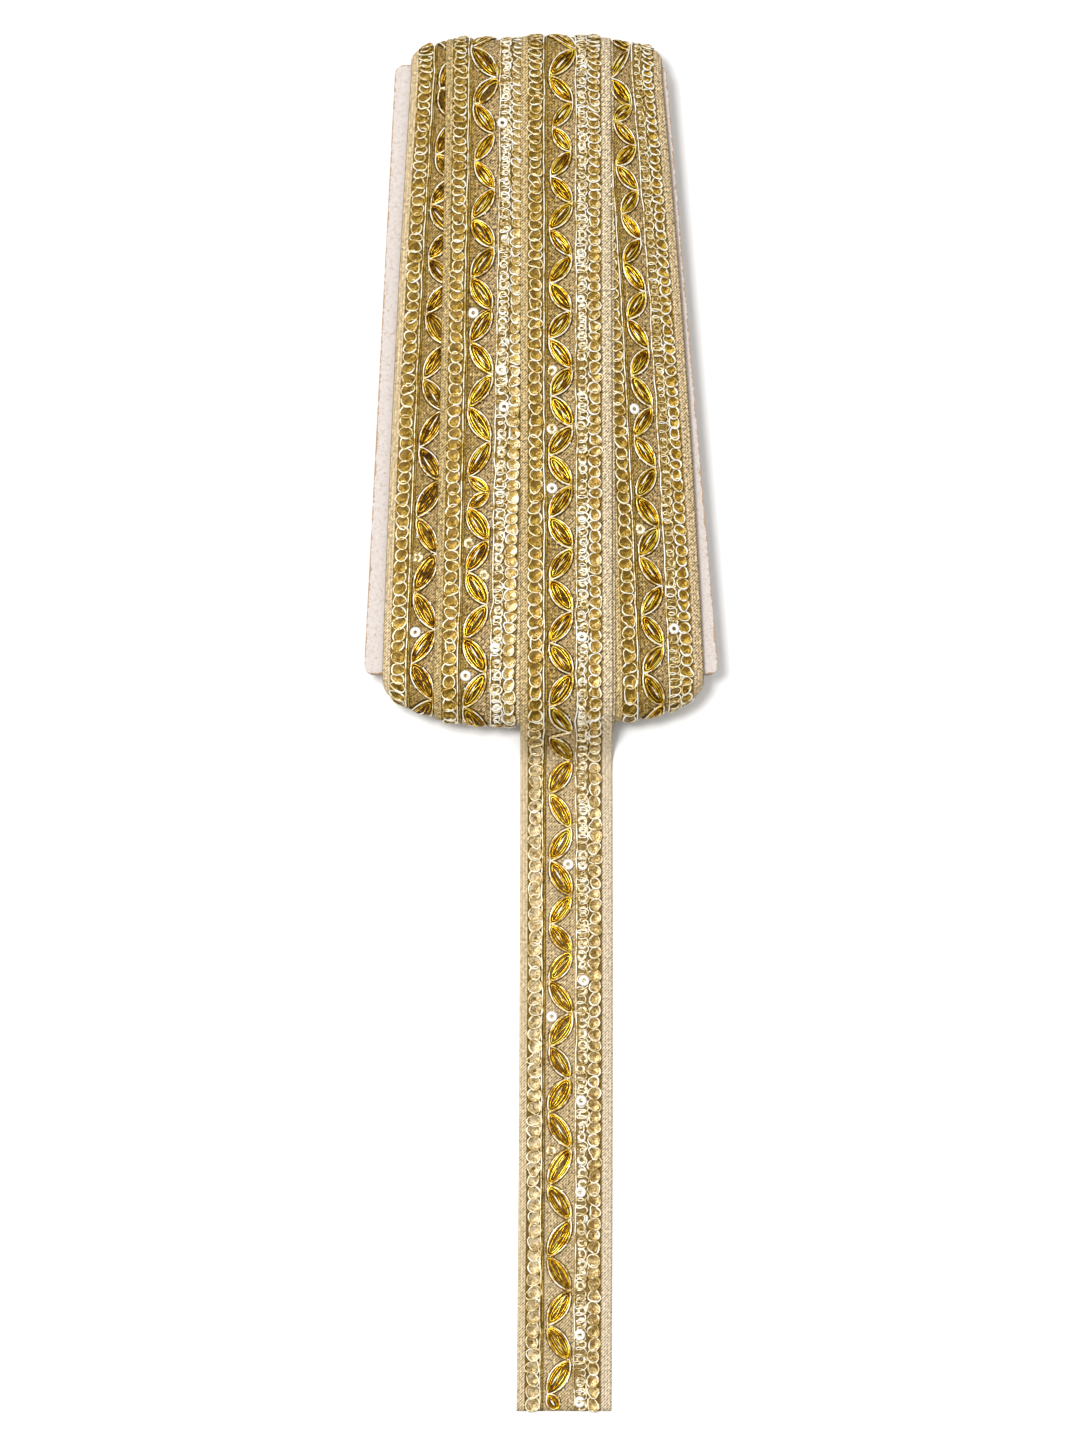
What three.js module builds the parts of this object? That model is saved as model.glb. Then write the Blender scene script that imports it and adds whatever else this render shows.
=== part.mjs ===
// A sequin trim wound lengthwise on a card. The last turn runs over the front of the roll, drops
// off its near end and lies straight out on the surface.
// Sizes are in millimetres. +Z is up, and +Y runs from the loose end to the far end of the roll.
// The origin is on the resting face, under the middle of the roll.
import * as THREE from "three";

// The trim
const TRIM_WIDTH = 25.5;
const TAPE_THICKNESS = 1.0;
const GAP = 0.35; // air between two pieces that touch

// What is sewn across the trim: where each piece starts and ends from the left edge, its height,
// and how far its shoulders are drawn in from its foot
const SEWN = {
  chain_left: { from: 2.1, to: 5.9, rise: 0.8, shoulder: 0.8 },
  cord_left: { from: 6.3, to: 7.0, rise: 0.6, shoulder: 0.2 },
  cord_right: { from: 15.3, to: 15.9, rise: 0.6, shoulder: 0.2 },
  sequin_row: { from: 16.2, to: 18.9, rise: 0.6, shoulder: 0.5 },
  chain_right: { from: 19.2, to: 22.8, rise: 0.8, shoulder: 0.8 },
};
// The zigzag of leaves between the two cords
const LEAF = { middle: 11.1, sway: 2.5, halfWidth: 2.0, nodeHalfWidth: 0.5, rise: 1.5, edge: 0.25 };
const LEAF_FULLNESS = 0.7; // below 1, a leaf is rounder at its ends
const LEAF_STEPS = 5;
const VINE_INSET = 1; // between the ends of the loose end and of its vine

// The card: a plate that is wider at its near end, with rounded corners
const CARD = { nearY: -84.5, farY: 90, nearWidth: 97.5, farWidth: 76.5, thickness: 3, bottom: 7 };
const CARD_LEAN = 1.5; // its middle is this far right of centre at the near end and left at the far
const CARD_CORNER = 3;
const CARD_TOP = CARD.bottom + CARD.thickness;

// The roll: its noses are quarter ellipses about these two lines, level with the card's middle
const NEAR_LINE = CARD.nearY;
const FAR_LINE = CARD.farY - 4;
const MIDDLE_Z = CARD.bottom + CARD.thickness / 2;
const BARREL = 0.6; // how far the front swells half way along
// Each size of the roll at its two sides and at its crown, and the shape of the curve between them
const ROLL = {
  front: { side: 1.8, crown: 7.0, square: 2.2, round: 0.9 },
  back: { side: 2.0, crown: 6.75, square: 4.5, round: 0.5 },
  near: { side: 3.0, crown: 13.9, square: 2.6, round: 0.6 },
  far: { side: 6.5, crown: 11.4, square: 4.0, round: 0.5 },
};

// The four columns of turns, from left to right. Each overlaps its neighbour: the left edge at the
// roll's near and far ends, the bow between them, and the share of the trim's width that shows
// from above where the column leans over the roll's shoulder
const COLUMN = {
  a: { near: -42.4, far: -34.6, bow: -0.9, nearShare: 1.0, farShare: 1.0, lift: 0.0 },
  b: { near: -28.2, far: -25.3, bow: 0.4, nearShare: 1.0, farShare: 1.0, lift: 1.0 },
  c: { near: -4.3, far: -4.3, bow: 0.0, nearShare: 1.0, farShare: 1.0, lift: 0.0 },
  d: { near: 21.9, far: 13.0, bow: 1.3, nearShare: 0.97, farShare: 0.85, lift: 0.0 },
};
const EDGE_NEAR_Y = -98;
const EDGE_FAR_Y = 97;
const BACK_TURN_LIFT = 1.2; // the turn under the loose end, where it comes round the far nose
const HIDDEN_STEP = 0.3; // spacing of the points that are still under the edge of column c
const STEP_LEAN = 0.02; // how far the foot of a column's edge lies outside its top

// Two raised bands run along every turn of the winding
const BAND_RISE = 0.7;
const RIBS = [
  { u: 0, rise: 0 },
  { u: 2.1, rise: 0 },
  { u: 2.9, rise: BAND_RISE },
  { u: 5.9, rise: BAND_RISE },
  { u: 7.0, rise: 0 },
  { u: 15.3, rise: 0 },
  { u: 16.1, rise: BAND_RISE },
  { u: 22.0, rise: BAND_RISE },
  { u: 22.8, rise: 0 },
];
const RIBS_OF_A = 5; // the rest of column a lies under column b
const RIBS_OF_B = 7;

// The loose end
const LEAVE_ANGLE = 30; // degrees above level at which it leaves the near nose
const FLOOR_Y = -109.5;
const END_Y = -283.7;
const END_DRIFT = -0.8; // sideways, at its cut end
const DROP_PULL = 6; // length of the handles of the curve down to the surface
const DROP_STEPS = 9;
const SURFACE_STEPS = 6;
const START_ANGLE = 3; // degrees round the far nose
const UNDERSIDE_STEPS = 4; // across the trim

// Spacing of the leaves along each column, at the near and far ends of the roll and on the surface
const LEAF_SPACING = {
  a: { near: 9.2, far: 9.0 },
  b: { near: 9.2, far: 8.2 },
  c: { near: 8.7, far: 7.0, end: 9.4 },
  d: { near: 8.7, far: 6.8 },
};
const VINE_ANGLE = 35; // degrees above level where the vines of the covered columns stop

const GOLD = { color: 0xbea36d, roughness: 0.45, metalness: 0.35 };
const DEEP_GOLD = { color: 0xb08422, roughness: 0.3, metalness: 0.8 };
const PALE_GOLD = { color: 0xd8c49f, roughness: 0.5, metalness: 0.3 };
const WHITE_BOARD = { color: 0xe8dcd3, roughness: 0.8, metalness: 0.0 };

const lerp = THREE.MathUtils.lerp;
const clamp = THREE.MathUtils.clamp;

// A size of the roll at a share of its width: flat over the middle and falling to its sides
function across({ side, crown, square, round }, share) {
  const fromMiddle = Math.min(1, Math.abs(2 * share - 1));
  return side + (crown - side) * (1 - fromMiddle ** square) ** round;
}

// The left edge of a column, and a place across it, at a distance along the roll
function alongShare(y) {
  return clamp((y - EDGE_NEAR_Y) / (EDGE_FAR_Y - EDGE_NEAR_Y), 0, 1);
}
function columnX(column, u, y) {
  const t = alongShare(y);
  const left = lerp(column.near, column.far, t) + 4 * column.bow * t * (1 - t);
  return left + u * lerp(column.nearShare, column.farShare, t);
}
function rollShare(x, y) {
  const left = columnX(COLUMN.a, 0, y);
  return (x - left) / (columnX(COLUMN.d, TRIM_WIDTH, y) - left);
}

// Stations round the roll. An angle is measured from level, up to 90 degrees at the front and down
// to -90 at the back.
const nose = (end, angle) => ({ end, angle });
const face = (side, share) => ({ side, share });
const NEAR_ANGLES = [75, 60, 45, 30, 15, 0, -15, -30, -45, -60, -75];
const FAR_ANGLES = [-75, -60, -45, -30, -15, -4, 0, 15, 30, 45, 60, 75];
const FACE_STEPS = 6;

// The bare surface of the roll at a station and a place across: the point, and the way out of it
function rollPoint(x, station) {
  if (station.end) {
    const near = station.end === "near";
    const line = near ? NEAR_LINE : FAR_LINE;
    const share = rollShare(x, line);
    const angle = THREE.MathUtils.degToRad(station.angle);
    const reach = across(near ? ROLL.near : ROLL.far, share);
    const height =
      station.angle >= 0
        ? CARD_TOP + across(ROLL.front, share) - MIDDLE_Z
        : MIDDLE_Z - CARD.bottom + across(ROLL.back, share);
    const towards = near ? -1 : 1;
    const out = new THREE.Vector3(0, (towards * Math.cos(angle)) / reach, Math.sin(angle) / height);
    const at = new THREE.Vector3(
      x,
      line + towards * reach * Math.cos(angle),
      MIDDLE_Z + height * Math.sin(angle),
    );
    return { at, out: out.normalize() };
  }
  const y = lerp(NEAR_LINE, FAR_LINE, station.share);
  const share = rollShare(x, y);
  if (station.side === "front") {
    const swell = BARREL * Math.sin(Math.PI * station.share);
    const z = CARD_TOP + across(ROLL.front, share) + swell;
    return { at: new THREE.Vector3(x, y, z), out: new THREE.Vector3(0, 0, 1) };
  }
  const z = CARD.bottom - across(ROLL.back, share);
  return { at: new THREE.Vector3(x, y, z), out: new THREE.Vector3(0, 0, -1) };
}

// The distance along the roll that sets how the columns spread at a station
function spreadY(station) {
  if (!station.end) return lerp(NEAR_LINE, FAR_LINE, station.share);
  return station.end === "near" ? NEAR_LINE : FAR_LINE;
}

// A closed solid from two grids of points, one row for each station and one entry for each place
// across: the upper skin and the lower skin
function slab(upper, lower) {
  const rows = upper.length;
  const columns = upper[0].length;
  const points = [...upper.flat(), ...lower.flat()];
  const top = (row, column) => row * columns + column;
  const under = (row, column) => rows * columns + row * columns + column;
  const faces = [];
  const quad = (a, b, c, d) => faces.push(a, b, c, a, c, d);
  for (let row = 0; row + 1 < rows; row++) {
    for (let i = 0; i + 1 < columns; i++) {
      quad(top(row, i), top(row + 1, i), top(row + 1, i + 1), top(row, i + 1));
      quad(under(row, i), under(row, i + 1), under(row + 1, i + 1), under(row + 1, i));
    }
    quad(under(row, 0), under(row + 1, 0), top(row + 1, 0), top(row, 0));
    const last = columns - 1;
    quad(top(row, last), top(row + 1, last), under(row + 1, last), under(row, last));
  }
  for (let i = 0; i + 1 < columns; i++) {
    quad(top(0, i), top(0, i + 1), under(0, i + 1), under(0, i));
    const end = rows - 1;
    quad(under(end, i), under(end, i + 1), top(end, i + 1), top(end, i));
  }
  return solid(points, faces);
}

function solid(points, faces) {
  const geometry = new THREE.BufferGeometry();
  geometry.setFromPoints(points);
  geometry.setIndex(faces);
  geometry.computeVertexNormals();
  return geometry;
}

// The winding

// The points across the winding's outer skin at a station: each has a place and a height above the
// bare roll. A column's edge stands on its neighbour, so two points lie almost one above the other
// there.
function windingProfile(station) {
  const y = spreadY(station);
  const bLeft = columnX(COLUMN.b, 0, y);
  const cLeft = columnX(COLUMN.c, 0, y);
  const cRight = columnX(COLUMN.c, TRIM_WIDTH, y);
  const onBack = station.side === "back" || (station.end === "far" && station.angle < 0);
  const points = [];
  const add = (x, height) => points.push({ x, height });

  for (const { u, rise } of RIBS.slice(0, RIBS_OF_A)) add(columnX(COLUMN.a, u, y), rise);
  add(bLeft - STEP_LEAN, 0);
  for (const { u, rise } of RIBS.slice(0, RIBS_OF_B)) {
    const x = columnX(COLUMN.b, u, y);
    add(x, rise + bankOfB(x, y));
  }
  add(cLeft - STEP_LEAN, BAND_RISE);
  const cLift = onBack ? BACK_TURN_LIFT : 0;
  for (const { u, rise } of RIBS) add(columnX(COLUMN.c, u, y), cLift + (onBack ? rise : 0));
  add(cRight, cLift);
  add(cRight + STEP_LEAN, 0);
  [...RIBS.slice(1), { u: TRIM_WIDTH, rise: 0 }].forEach(({ u, rise }, i) => {
    const x = columnX(COLUMN.d, u, y);
    const least = cRight + HIDDEN_STEP * (i + 1);
    add(Math.max(x, least), x > least ? rise : 0);
  });
  return points;
}

// Column b is banked: its left edge stands on column a, and it comes down towards column c
function bankOfB(x, y) {
  const bLeft = columnX(COLUMN.b, 0, y);
  const cLeft = columnX(COLUMN.c, 0, y);
  return COLUMN.b.lift * (1 - (x - bLeft) / (cLeft - bLeft));
}

// The slot through the winding where the card lies, at a station
function slotPoint(x, station) {
  const halfHeight = CARD.thickness / 2 + GAP;
  const nearY = CARD.nearY - GAP;
  const farY = CARD.farY + GAP;
  if (station.end) {
    const z = MIDDLE_Z + halfHeight * Math.sin(THREE.MathUtils.degToRad(station.angle));
    return new THREE.Vector3(x, station.end === "near" ? nearY : farY, z);
  }
  const z = MIDDLE_Z + (station.side === "front" ? halfHeight : -halfHeight);
  return new THREE.Vector3(x, lerp(nearY, farY, station.share), z);
}

function windingGeometry() {
  const shares = Array.from({ length: FACE_STEPS + 1 }, (_, i) => i / FACE_STEPS);
  const stations = [
    ...[...shares].reverse().map((share) => face("front", share)),
    ...NEAR_ANGLES.map((angle) => nose("near", angle)),
    ...shares.map((share) => face("back", share)),
    ...FAR_ANGLES.map((angle) => nose("far", angle)),
  ];
  const outer = stations.map((station) =>
    windingProfile(station).map(({ x, height }) => {
      const { at, out } = rollPoint(x, station);
      at.addScaledVector(out, height);
      at.z = Math.max(at.z, 0);
      return at;
    }),
  );
  const columns = outer[0].length;
  const slot = stations.map((station, row) => [
    slotPoint(outer[row][0].x, station),
    slotPoint(outer[row][columns - 1].x, station),
  ]);
  const points = [...outer.flat(), ...slot.flat()];
  const skin = (row, column) => (row % stations.length) * columns + column;
  const inner = (row, side) =>
    stations.length * columns + (row % stations.length) * 2 + side;
  const faces = [];
  const quad = (a, b, c, d) => faces.push(a, b, c, a, c, d);
  stations.forEach((_, row) => {
    for (let i = 0; i + 1 < columns; i++) {
      quad(skin(row, i), skin(row + 1, i), skin(row + 1, i + 1), skin(row, i + 1));
    }
    quad(inner(row, 0), inner(row, 1), inner(row + 1, 1), inner(row + 1, 0));
    quad(inner(row, 0), inner(row + 1, 0), skin(row + 1, 0), skin(row, 0));
    const last = columns - 1;
    quad(skin(row, last), skin(row + 1, last), inner(row + 1, 1), inner(row, 1));
  });
  return solid(points, faces);
}

// The loose end and its sewn pieces

// The underside of the loose end as a run of stations from the far nose to the cut end. Each gives
// the point and the way up for a place across the trim.
function looseEndPath() {
  const path = [];
  const onRoll = (station) => (u) => {
    const x = columnX(COLUMN.c, u, spreadY(station));
    const { at, out } = rollPoint(x, station);
    return { at: at.addScaledVector(out, GAP), out };
  };
  [START_ANGLE, ...FAR_ANGLES.filter((angle) => angle > START_ANGLE)].forEach((angle) =>
    path.push(onRoll(nose("far", angle))),
  );
  for (let i = FACE_STEPS; i >= 0; i--) path.push(onRoll(face("front", i / FACE_STEPS)));
  NEAR_ANGLES.filter((angle) => angle >= LEAVE_ANGLE).forEach((angle) =>
    path.push(onRoll(nose("near", angle))),
  );
  for (let i = 1; i <= DROP_STEPS; i++) path.push(dropPoint(i / DROP_STEPS));
  for (let i = 1; i <= SURFACE_STEPS; i++) path.push(surfacePoint(i / SURFACE_STEPS));
  return path;
}

// On the curve down from the near nose, a share of the way down
function dropPoint(share) {
  return (u) => {
    const x = columnX(COLUMN.c, u, NEAR_LINE);
    const { at, out } = rollPoint(x, nose("near", LEAVE_ANGLE));
    at.addScaledVector(out, GAP);
    const along = new THREE.Vector3(0, -out.z, out.y);
    const floor = new THREE.Vector3(x, FLOOR_Y, 0);
    const curve = new THREE.CubicBezierCurve3(
      at,
      at.clone().addScaledVector(along, DROP_PULL),
      floor.clone().add(new THREE.Vector3(0, DROP_PULL, 0)),
      floor,
    );
    const run = curve.getTangent(share);
    return { at: curve.getPoint(share), out: new THREE.Vector3(0, run.z, -run.y) };
  };
}

// On the surface, a share of the way from where it comes down to its cut end
function surfacePoint(share) {
  return (u) => {
    const x = columnX(COLUMN.c, u, NEAR_LINE) + END_DRIFT * share * share;
    const at = new THREE.Vector3(x, lerp(FLOOR_Y, END_Y, share), 0);
    return { at, out: new THREE.Vector3(0, 0, 1) };
  };
}

function raised(station, u, height) {
  const { at, out } = station(u);
  return at.addScaledVector(out, height);
}

// The tape with the pieces sewn along it: the upper skin rises over each piece, and the underside
// is plain
function tapeGeometry(path) {
  const profile = [new THREE.Vector2(0, TAPE_THICKNESS)];
  for (const { from, to, rise, shoulder } of Object.values(SEWN)) {
    profile.push(
      new THREE.Vector2(from, TAPE_THICKNESS),
      new THREE.Vector2(from + shoulder, TAPE_THICKNESS + rise),
      new THREE.Vector2(to - shoulder, TAPE_THICKNESS + rise),
      new THREE.Vector2(to, TAPE_THICKNESS),
    );
  }
  profile.push(new THREE.Vector2(TRIM_WIDTH, TAPE_THICKNESS));
  for (let i = UNDERSIDE_STEPS; i >= 0; i--) {
    profile.push(new THREE.Vector2((i / UNDERSIDE_STEPS) * TRIM_WIDTH, 0));
  }
  const size = profile.length;
  const points = path.flatMap((station) => profile.map(({ x, y }) => raised(station, x, y)));
  const faces = [];
  for (let row = 0; row + 1 < path.length; row++) {
    for (let i = 0; i < size; i++) {
      const here = row * size + i;
      const beside = row * size + ((i + 1) % size);
      faces.push(here, here + size, beside + size, here, beside + size, beside);
    }
  }
  const cap = THREE.ShapeUtils.triangulateShape(profile, []);
  const last = (path.length - 1) * size;
  for (const [i, j, k] of cap) {
    faces.push(i, k, j);
    faces.push(last + i, last + j, last + k);
  }
  return solid(points, faces);
}

// A vine of leaves: a ridge that swings from cord to cord and narrows where two leaves meet.
// The stations are where it is built, and each knows the share of its leaf and which way it swings.
function vineGeometry(stations, foot) {
  const upper = [];
  const lower = [];
  for (const { point, leaf, share, least, most } of stations) {
    const way = leaf % 2 === 0 ? 1 : -1;
    const middle = LEAF.middle + way * LEAF.sway * (1 - 2 * share);
    const full = Math.sin(Math.PI * share) ** LEAF_FULLNESS;
    const half = lerp(LEAF.nodeHalfWidth, LEAF.halfWidth, full);
    const left = clamp(middle - half, least, most - 2 * LEAF.nodeHalfWidth);
    const right = clamp(middle + half, left + LEAF.nodeHalfWidth, most);
    const crest = clamp(middle, left + LEAF.edge, right - LEAF.edge);
    const height = lerp(LEAF.rise / 2, LEAF.rise, full);
    upper.push([
      raised(point, left, foot + LEAF.edge),
      raised(point, crest, foot + height),
      raised(point, right, foot + LEAF.edge),
    ]);
    lower.push([left, crest, right].map((u) => raised(point, u, foot)));
  }
  return slab(upper, lower);
}

// Cuts a length into leaves whose spacing changes evenly from one end to the other
function leafRows(length, first, last) {
  const count = Math.round(length / ((first + last) / 2));
  const rows = [];
  const total = ((first + last) / 2) * count;
  for (let step = 0; step <= count * LEAF_STEPS; step++) {
    const t = step / (count * LEAF_STEPS);
    const travelled = (first * t + ((last - first) * t * t) / 2) * count;
    rows.push({
      distance: (travelled / total) * length,
      leaf: Math.min(Math.floor(step / LEAF_STEPS), count - 1),
      share: step === count * LEAF_STEPS ? 1 : (step % LEAF_STEPS) / LEAF_STEPS,
    });
  }
  return rows;
}

// A way to look up any distance along a run of stations
function measured(stations) {
  const middle = stations.map((station) => station(TRIM_WIDTH / 2).at);
  const reached = [0];
  for (let i = 1; i < middle.length; i++) {
    reached.push(reached[i - 1] + middle[i].distanceTo(middle[i - 1]));
  }
  const length = reached[reached.length - 1];
  const pointAt = (distance) => (u) => {
    let i = 1;
    while (i < reached.length - 1 && reached[i] < distance) i++;
    const t = clamp((distance - reached[i - 1]) / (reached[i] - reached[i - 1]), 0, 1);
    const before = stations[i - 1](u);
    const after = stations[i](u);
    return { at: before.at.lerp(after.at, t), out: before.out.lerp(after.out, t).normalize() };
  };
  return { length, pointAt };
}

// The vine of the loose end
function looseVine(path) {
  const { length, pointAt } = measured(path);
  const { far, end } = LEAF_SPACING.c;
  const rows = leafRows(length - 2 * VINE_INSET, far, end).map((row) => ({
    ...row,
    point: pointAt(row.distance + VINE_INSET),
    least: 0,
    most: TRIM_WIDTH,
  }));
  return vineGeometry(rows, TAPE_THICKNESS + GAP);
}

// The vine of one of the columns that lie under the loose end. Its leaves stop at the edge of the
// column that covers them.
function columnVine(name) {
  const column = COLUMN[name];
  const stations = [];
  const onRoll = (station) => (u) => {
    const y = spreadY(station);
    const x = columnX(column, u, y);
    const lift = name === "b" ? bankOfB(x, y) : 0;
    const { at, out } = rollPoint(x, station);
    return { at: at.addScaledVector(out, lift), out };
  };
  FAR_ANGLES.filter((angle) => angle > VINE_ANGLE).forEach((angle) =>
    stations.push(onRoll(nose("far", angle))),
  );
  for (let i = FACE_STEPS; i >= 0; i--) stations.push(onRoll(face("front", i / FACE_STEPS)));
  NEAR_ANGLES.filter((angle) => angle > VINE_ANGLE).forEach((angle) =>
    stations.push(onRoll(nose("near", angle))),
  );
  const { length, pointAt } = measured(stations);
  const { near, far } = LEAF_SPACING[name];
  const uOf = (x, y) => (x - columnX(column, 0, y)) / (columnX(column, 1, y) - columnX(column, 0, y));
  const rows = leafRows(length, far, near).map((row) => {
    const point = pointAt(row.distance);
    const y = point(0).at.y;
    const least = name === "d" ? uOf(columnX(COLUMN.c, TRIM_WIDTH, y) + GAP, y) : 0;
    const most = name === "a" ? uOf(columnX(COLUMN.b, 0, y) - GAP, y) : TRIM_WIDTH;
    return { ...row, point, least: Math.max(0, least), most };
  });
  return vineGeometry(rows, GAP);
}

// The card
function cardGeometry() {
  const nearLeft = CARD_LEAN - CARD.nearWidth / 2;
  const nearRight = CARD_LEAN + CARD.nearWidth / 2;
  const farLeft = -CARD_LEAN - CARD.farWidth / 2;
  const farRight = -CARD_LEAN + CARD.farWidth / 2;
  const corners = [
    new THREE.Vector2(nearLeft, CARD.nearY),
    new THREE.Vector2(nearRight, CARD.nearY),
    new THREE.Vector2(farRight, CARD.farY),
    new THREE.Vector2(farLeft, CARD.farY),
  ];
  const outline = new THREE.Shape();
  corners.forEach((corner, i) => {
    const before = corners[(i + 3) % 4];
    const after = corners[(i + 1) % 4];
    const into = corner.clone().addScaledVector(before.clone().sub(corner).normalize(), CARD_CORNER);
    const outOf = corner.clone().addScaledVector(after.clone().sub(corner).normalize(), CARD_CORNER);
    if (i === 0) outline.moveTo(into.x, into.y);
    else outline.lineTo(into.x, into.y);
    outline.quadraticCurveTo(corner.x, corner.y, outOf.x, outOf.y);
  });
  outline.closePath();
  return new THREE.ExtrudeGeometry(outline, {
    depth: CARD.thickness,
    bevelEnabled: false,
    curveSegments: 5,
  });
}

function piece(name, geometry, finish) {
  const mesh = new THREE.Mesh(geometry, new THREE.MeshStandardMaterial(finish));
  mesh.name = name;
  return mesh;
}

function build() {
  const trim = new THREE.Group();
  const card = piece("card", cardGeometry(), WHITE_BOARD);
  card.position.z = CARD.bottom;
  trim.add(card, piece("winding", windingGeometry(), GOLD));
  for (const name of ["a", "b", "d"]) {
    trim.add(piece(`column_${name}_leaf_vine`, columnVine(name), DEEP_GOLD));
  }
  const path = looseEndPath();
  trim.add(piece("loose_end", tapeGeometry(path), PALE_GOLD));
  trim.add(piece("loose_end_leaf_vine", looseVine(path), DEEP_GOLD));
  return trim;
}

export default build();
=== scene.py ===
"""A gold sequin trim wound lengthwise on a card, with its loose end laid out straight.

Lengths are in millimetres until a mesh is made, and in metres for the lamp and the camera. The
frame is the part's own: +Z is up from the surface, +Y runs to the far end of the roll, and the
origin is under the middle of the roll. On the trim itself, u runs across from its left edge, v
along it and w up from its underside."""

import math

import bpy
import numpy as np
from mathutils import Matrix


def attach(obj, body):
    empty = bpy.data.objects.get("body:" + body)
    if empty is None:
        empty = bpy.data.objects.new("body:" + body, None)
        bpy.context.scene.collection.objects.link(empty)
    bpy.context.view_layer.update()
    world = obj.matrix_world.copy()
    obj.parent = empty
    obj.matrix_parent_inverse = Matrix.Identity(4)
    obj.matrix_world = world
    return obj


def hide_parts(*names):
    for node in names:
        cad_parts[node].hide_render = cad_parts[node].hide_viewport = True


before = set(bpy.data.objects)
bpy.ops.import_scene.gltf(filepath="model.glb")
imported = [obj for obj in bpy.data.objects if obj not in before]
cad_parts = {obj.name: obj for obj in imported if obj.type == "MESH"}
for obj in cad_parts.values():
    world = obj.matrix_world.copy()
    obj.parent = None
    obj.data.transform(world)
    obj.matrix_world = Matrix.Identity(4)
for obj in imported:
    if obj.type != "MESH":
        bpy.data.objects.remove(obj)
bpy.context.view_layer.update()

MM = 0.001
ROOT = "root"

# The trim and the roll, as the part has them
TRIM_WIDTH = 25.5
NEAR_LINE, FAR_LINE, MIDDLE_Z = -84.5, 86.0, 8.5
CARD_BOTTOM, CARD_TOP = 7.0, 10.0
BARREL = 0.6
FRONT = {"side": 1.8, "crown": 7.0, "square": 2.2, "round": 0.9}
BACK = {"side": 2.0, "crown": 6.75, "square": 4.5, "round": 0.5}
NEAR = {"side": 3.0, "crown": 13.9, "square": 2.6, "round": 0.6}
FAR = {"side": 6.5, "crown": 11.4, "square": 4.0, "round": 0.5}
EDGE_NEAR_Y, EDGE_FAR_Y = -98.0, 97.0
COLUMN = {
    "a": {"near": -42.4, "far": -34.6, "bow": -0.9, "near_share": 1.0, "far_share": 1.0},
    "b": {"near": -28.2, "far": -25.3, "bow": 0.4, "near_share": 1.0, "far_share": 1.0},
    "c": {"near": -4.3, "far": -4.3, "bow": 0.0, "near_share": 1.0, "far_share": 1.0},
    "d": {"near": 21.9, "far": 13.0, "bow": 1.3, "near_share": 0.97, "far_share": 0.85},
}
BANK_OF_B = 1.0
LEAVE_ANGLE = 30.0
FLOOR_Y, END_Y, END_DRIFT, DROP_PULL = -109.5, -283.7, -0.8, 6.0

# How far each turn lies outside the bare roll
SEATING = -0.5
LOWER_TURN = {"lift": -0.15, "shift": 0.8}
BACK_TURN = {"lift": 0.7, "shift": 0.0}
TOP_TURN = {"lift": 0.35, "shift": 0.0}
BACK_CLEARANCE = {"a": 2.9, "b": 2.1, "c": 1.8, "d": 2.9}
# The neighbour that lies on each full turn, the edge of it, and to which side it covers
NEIGHBOUR = {"a": ("b", 0.4, 1), "b": ("c", 0.4, 1), "d": ("c", TRIM_WIDTH - 0.4, -1)}
# How high covered work may stand on the front, on the back and below the last turn
PRESSED = {"front": 0.3, "back": 0.25, "below": 0.45}
FREE = 99.0
# How far beyond the near line the back's clearance holds
CLEARANCE_REACH = 16.0
# The strip below the last turn comes into view at this station of the near nose
SHOWS_AT = 9
# The inner turns: how far inside the outer ones and above the surface, how far their hollow for
# the card reaches up and out, how much longer it is at the far end, and the steps down their sides
CORE = {"inset": 0.65, "clear": 3.1, "round_card": 1.75, "tip": 0.5, "past_far": 4.0, "fold": 0.25}

# The card: its ends, half its width there, and how far its middle line swings to each side
CARD = {"near": -84.5, "far": 90.0, "near_half": 48.75, "far_half": 38.25, "lean": 1.5}

# What is sewn across the trim
SELVEDGE_LEFT, SELVEDGE_RIGHT = 2.1, 22.8
CHAIN_LEFT = {"middle": 4.2, "radius": 1.78, "pitch": 3.3, "thread": 0.25, "tip": 0.22}
CHAIN_RIGHT = {"middle": 20.55, "radius": 1.6, "pitch": 3.2, "thread": 0.275, "tip": 0.26}
CORD_LEFT, CORD_RIGHT, CORD_SHIFT = 7.2, 15.35, 0.45
SEQUIN_ROW = {"middle": 17.3, "radius": 1.4, "pitch": 3.1, "height": 0.72}
SEQUINS_LEFT = {"a": 0.92, "b": 0.92, "c": 0.92, "d": 0.6}
# A leaf is widest from a full length on, and a step shorter than a slip has no leaf
LEAF = {"left": 8.2, "right": 14.15, "half": 2.25, "round": 0.8, "full": 10.2, "slip": 3.0}
CUT_LEAF = {"short": 0.35, "across": 3.0}
CROWDING = {"y": (-100, -84, 0, 40, 70, 90), "share": (1.0, 0.97, 0.92, 0.82, 0.68, 0.58)}
# The crowded far end of the roll is also more uneven: how much, at two places along it
UNEVEN = {"y": (45, 88), "share": (1.0, 3.6)}

# The tape's section: where its points are, and the heights of its top and its underside
TAPE_POINTS = (
    0, 0.12, 0.5, 1.1, 1.8, 2.1, 2.4, 4.2, 6.2, 8.5, 11, 13.5,
    15.6, 17.4, 19.2, 20.8, 22.5, 22.8, 23.1, 24, 24.9, 25.38, 25.5,
)
TAPE_TOP = {
    "u": (0, 0.12, 0.5, 1.8, 2.3, 22.6, 23.1, 24.9, 25.38, 25.5),
    "w": (0.22, 0.4, 0.55, 0.6, 0.42, 0.42, 0.6, 0.55, 0.4, 0.22),
}
TAPE_UNDER = {"u": (0, 0.12, 25.38, 25.5), "w": (0.14, 0.05, 0.05, 0.14)}
TAPE_STEP, CORD_STEP, SCRIBBLE_STEP = 1.6, 1.1, 0.2

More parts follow.
